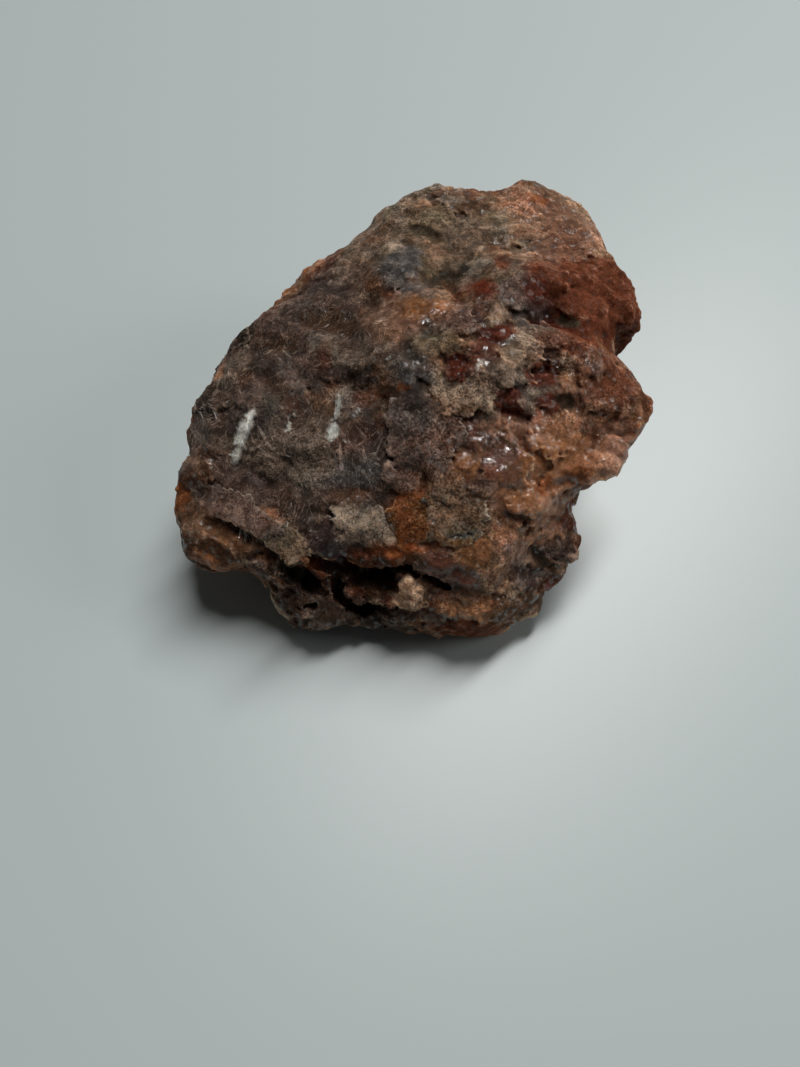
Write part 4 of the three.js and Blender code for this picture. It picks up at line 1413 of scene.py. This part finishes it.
def needle_tufts(points, triangles, felt, random):
    """The stops of needles that lie over the surface in tufts, most where felt is high."""
    tree = BVHTree.FromPolygons(points.tolist(), triangles.tolist())
    areas, middles, normals = face_facts(points, triangles)
    weights = areas * felt[triangles].mean(1) * (normals[:, 2] > LEAST_UP)
    needles = []
    for face in random.choice(len(areas), TUFTS, p=weights / weights.sum()):
        middle, normal = middles[face], normals[face]
        side = np.cross(normal, SLANT)
        side /= np.linalg.norm(side)
        up = np.cross(normal, side)
        spread = random.uniform(*TUFT_SPREAD)
        facing = random.uniform(0, 2 * math.pi)
        for _ in range(random.integers(*TUFT_NEEDLES)):
            angle = facing + random.uniform(-spread, spread)
            bend = random.uniform(-NEEDLE_BEND, NEEDLE_BEND)
            start = middle + side * random.uniform(-TUFT_RADIUS, TUFT_RADIUS)
            start = start + up * random.uniform(-TUFT_RADIUS, TUFT_RADIUS)
            length = random.uniform(*NEEDLE_LENGTH)
            stops = [start]
            for before, after in zip(NEEDLE_STOPS, NEEDLE_STOPS[1:]):
                way = side * math.cos(angle) + up * math.sin(angle)
                stops.append(stops[-1] + way * length * (after - before))
                angle += bend
            stops = [lifted(tree, stop, height) for stop, height in zip(stops, NEEDLE_LIFT)]
            if max(abs((stop - Vector(middle)) @ Vector(normal)) for stop in stops) < NEEDLE_STRAY:
                needles.append(stops)
    return np.array(needles)


def lifted(tree, place, height):
    """The point of the surface nearest a place, raised by height."""
    nearest, normal, _, _ = tree.find_nearest(Vector(place.tolist()))
    return nearest + normal * height


def make_needles(points, triangles, felt):
    """One mesh of all the needles, each with three sides and two points."""
    random = np.random.default_rng(NEEDLE_SEED)
    stops = needle_tufts(points, triangles, felt, random)
    count = len(stops)
    way = stops[:, 3] - stops[:, 0]
    way /= np.maximum(np.linalg.norm(way, axis=1), 1e-6)[:, None]
    side = np.cross(way, random.normal(size=(count, 3)))
    side /= np.linalg.norm(side, axis=1)[:, None]
    up = np.cross(way, side)
    half = random.uniform(*NEEDLE_WIDTH, count)[:, None] / 2
    corners = [stops[:, 0]]
    for stop in (1, 2):
        for angle in (0, 2 * math.pi / 3, 4 * math.pi / 3):
            corners.append(stops[:, stop] + (side * math.cos(angle) + up * math.sin(angle)) * half)
    corners.append(stops[:, 3])
    places = np.stack(corners, 1).reshape(-1, 3)
    pattern = [(0, 2, 1), (0, 3, 2), (0, 1, 3), (7, 4, 5), (7, 5, 6), (7, 6, 4)]
    for near, after in ((1, 2), (2, 3), (3, 1)):
        pattern += [(near, after, after + 3), (near, after + 3, near + 3)]
    faces = (np.array(pattern)[None] + NEEDLE_POINTS * np.arange(count)[:, None, None]).reshape(-1, 3)
    needles = make_mesh("frost_needles", places, faces)
    add_layer(needles.data, "tint", "FLOAT", "value", np.repeat(random.uniform(0, 1, count), NEEDLE_POINTS))
    return needles


def make_needle_salt():
    material = bpy.data.materials.new("halite_needles")
    n = Nodes(material)
    colour = n.mix(n.ramp(n.noise(5.0), 0.4, 0.6), *NEEDLE_COLOURS)
    colour = n.brighter(colour, n.ramp(n.layer("tint"), 0.0, 1.0, *NEEDLE_SHADES))
    n.feed(n.shader.inputs["Base Color"], colour)
    n.shader.inputs["Roughness"].default_value = NEEDLE_ROUGHNESS
    n.shader.inputs["IOR"].default_value = HALITE_IOR
    n.feed(n.shader.inputs["Normal"], n.bump(n.noise(0.3), 0.02, 0.5))
    return material


# ---------------------------------------------------------------------------------------------------------
# Making the pieces
# ---------------------------------------------------------------------------------------------------------
field, base, plates = make_surface()
points, triangles = largest_piece(*field.surface())
lump = make_mesh("halite_surface", points, triangles)
thin_out(lump)
points, triangles = mesh_arrays(lump.data)
relief = [steps(field, SMALL_FORMS), steps(field, LARGE_FORMS)]
tufted = paint(lump, field, plates, *anchors(points, field), relief)
salt = make_salt()
lump.data.materials.append(salt)
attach(lump, BODY)
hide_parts(NODE)

thin_plates, plate_numbers, insides = make_thin_plates(base, plates)
paint(thin_plates, field, plates, plate_numbers, insides, relief)
thin_plates.data.materials.append(salt)
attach(thin_plates, BODY)

needles = make_needles(points, triangles, tufted)
needles.data.materials.append(make_needle_salt())
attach(needles, BODY)


# ---------------------------------------------------------------------------------------------------------
# The table and the light
# ---------------------------------------------------------------------------------------------------------
TABLE_SIZE = 6.0  # metres
TABLE_COLOUR = (0.50, 0.57, 0.58, 1.0)
TABLE_ROUGHNESS = 0.4
ROOM_COLOUR, ROOM_STRENGTH = (1.0, 0.97, 0.93, 1.0), 0.035
LIGHT_COLOUR = (1.0, 0.98, 0.95)
LIGHT_DISTANCE = 1.2  # metres from the lump
# Soft lights: the way to each from the lump, the way its length runs, length and width in metres, and power.
LIGHTS = [
    ((0.20, 0.37, 0.87), (0.34, 0.33, -0.22), 0.9, 0.18, 12.4),
    ((0.85, 0.00, 0.50), (0.0, 1.0, 0.0), 0.4, 0.4, 2.5),
]


def add_table():
    bpy.ops.mesh.primitive_plane_add(size=TABLE_SIZE, location=(0, 0, 0))
    table = bpy.context.object
    table.name = "table"
    surface = bpy.data.materials.new("table")
    surface.use_nodes = True
    shader = surface.node_tree.nodes["Principled BSDF"]
    shader.inputs["Base Color"].default_value = TABLE_COLOUR
    shader.inputs["Roughness"].default_value = TABLE_ROUGHNESS
    table.data.materials.append(surface)


def add_light(direction, along, length, width, power):
    data = bpy.data.lights.new("strip", "AREA")
    data.shape = "RECTANGLE"
    data.size, data.size_y = length, width
    data.energy = power
    data.color = LIGHT_COLOUR
    facing = Vector(direction).normalized()
    side = Vector(along)
    side = (side - facing * side.dot(facing)).normalized()
    turn = Matrix([side, facing.cross(side), facing]).transposed()
    light = bpy.data.objects.new("strip", data)
    light.matrix_world = Matrix.Translation(facing * LIGHT_DISTANCE) @ turn.to_4x4()
    bpy.context.scene.collection.objects.link(light)


def add_world():
    world = bpy.data.worlds.new("room")
    bpy.context.scene.world = world
    world.use_nodes = True
    background = world.node_tree.nodes["Background"]
    background.inputs["Color"].default_value = ROOM_COLOUR
    background.inputs["Strength"].default_value = ROOM_STRENGTH


add_camera()
add_table()
for light in LIGHTS:
    add_light(*light)
add_world()
bpy.context.scene.view_settings.view_transform = "Standard"
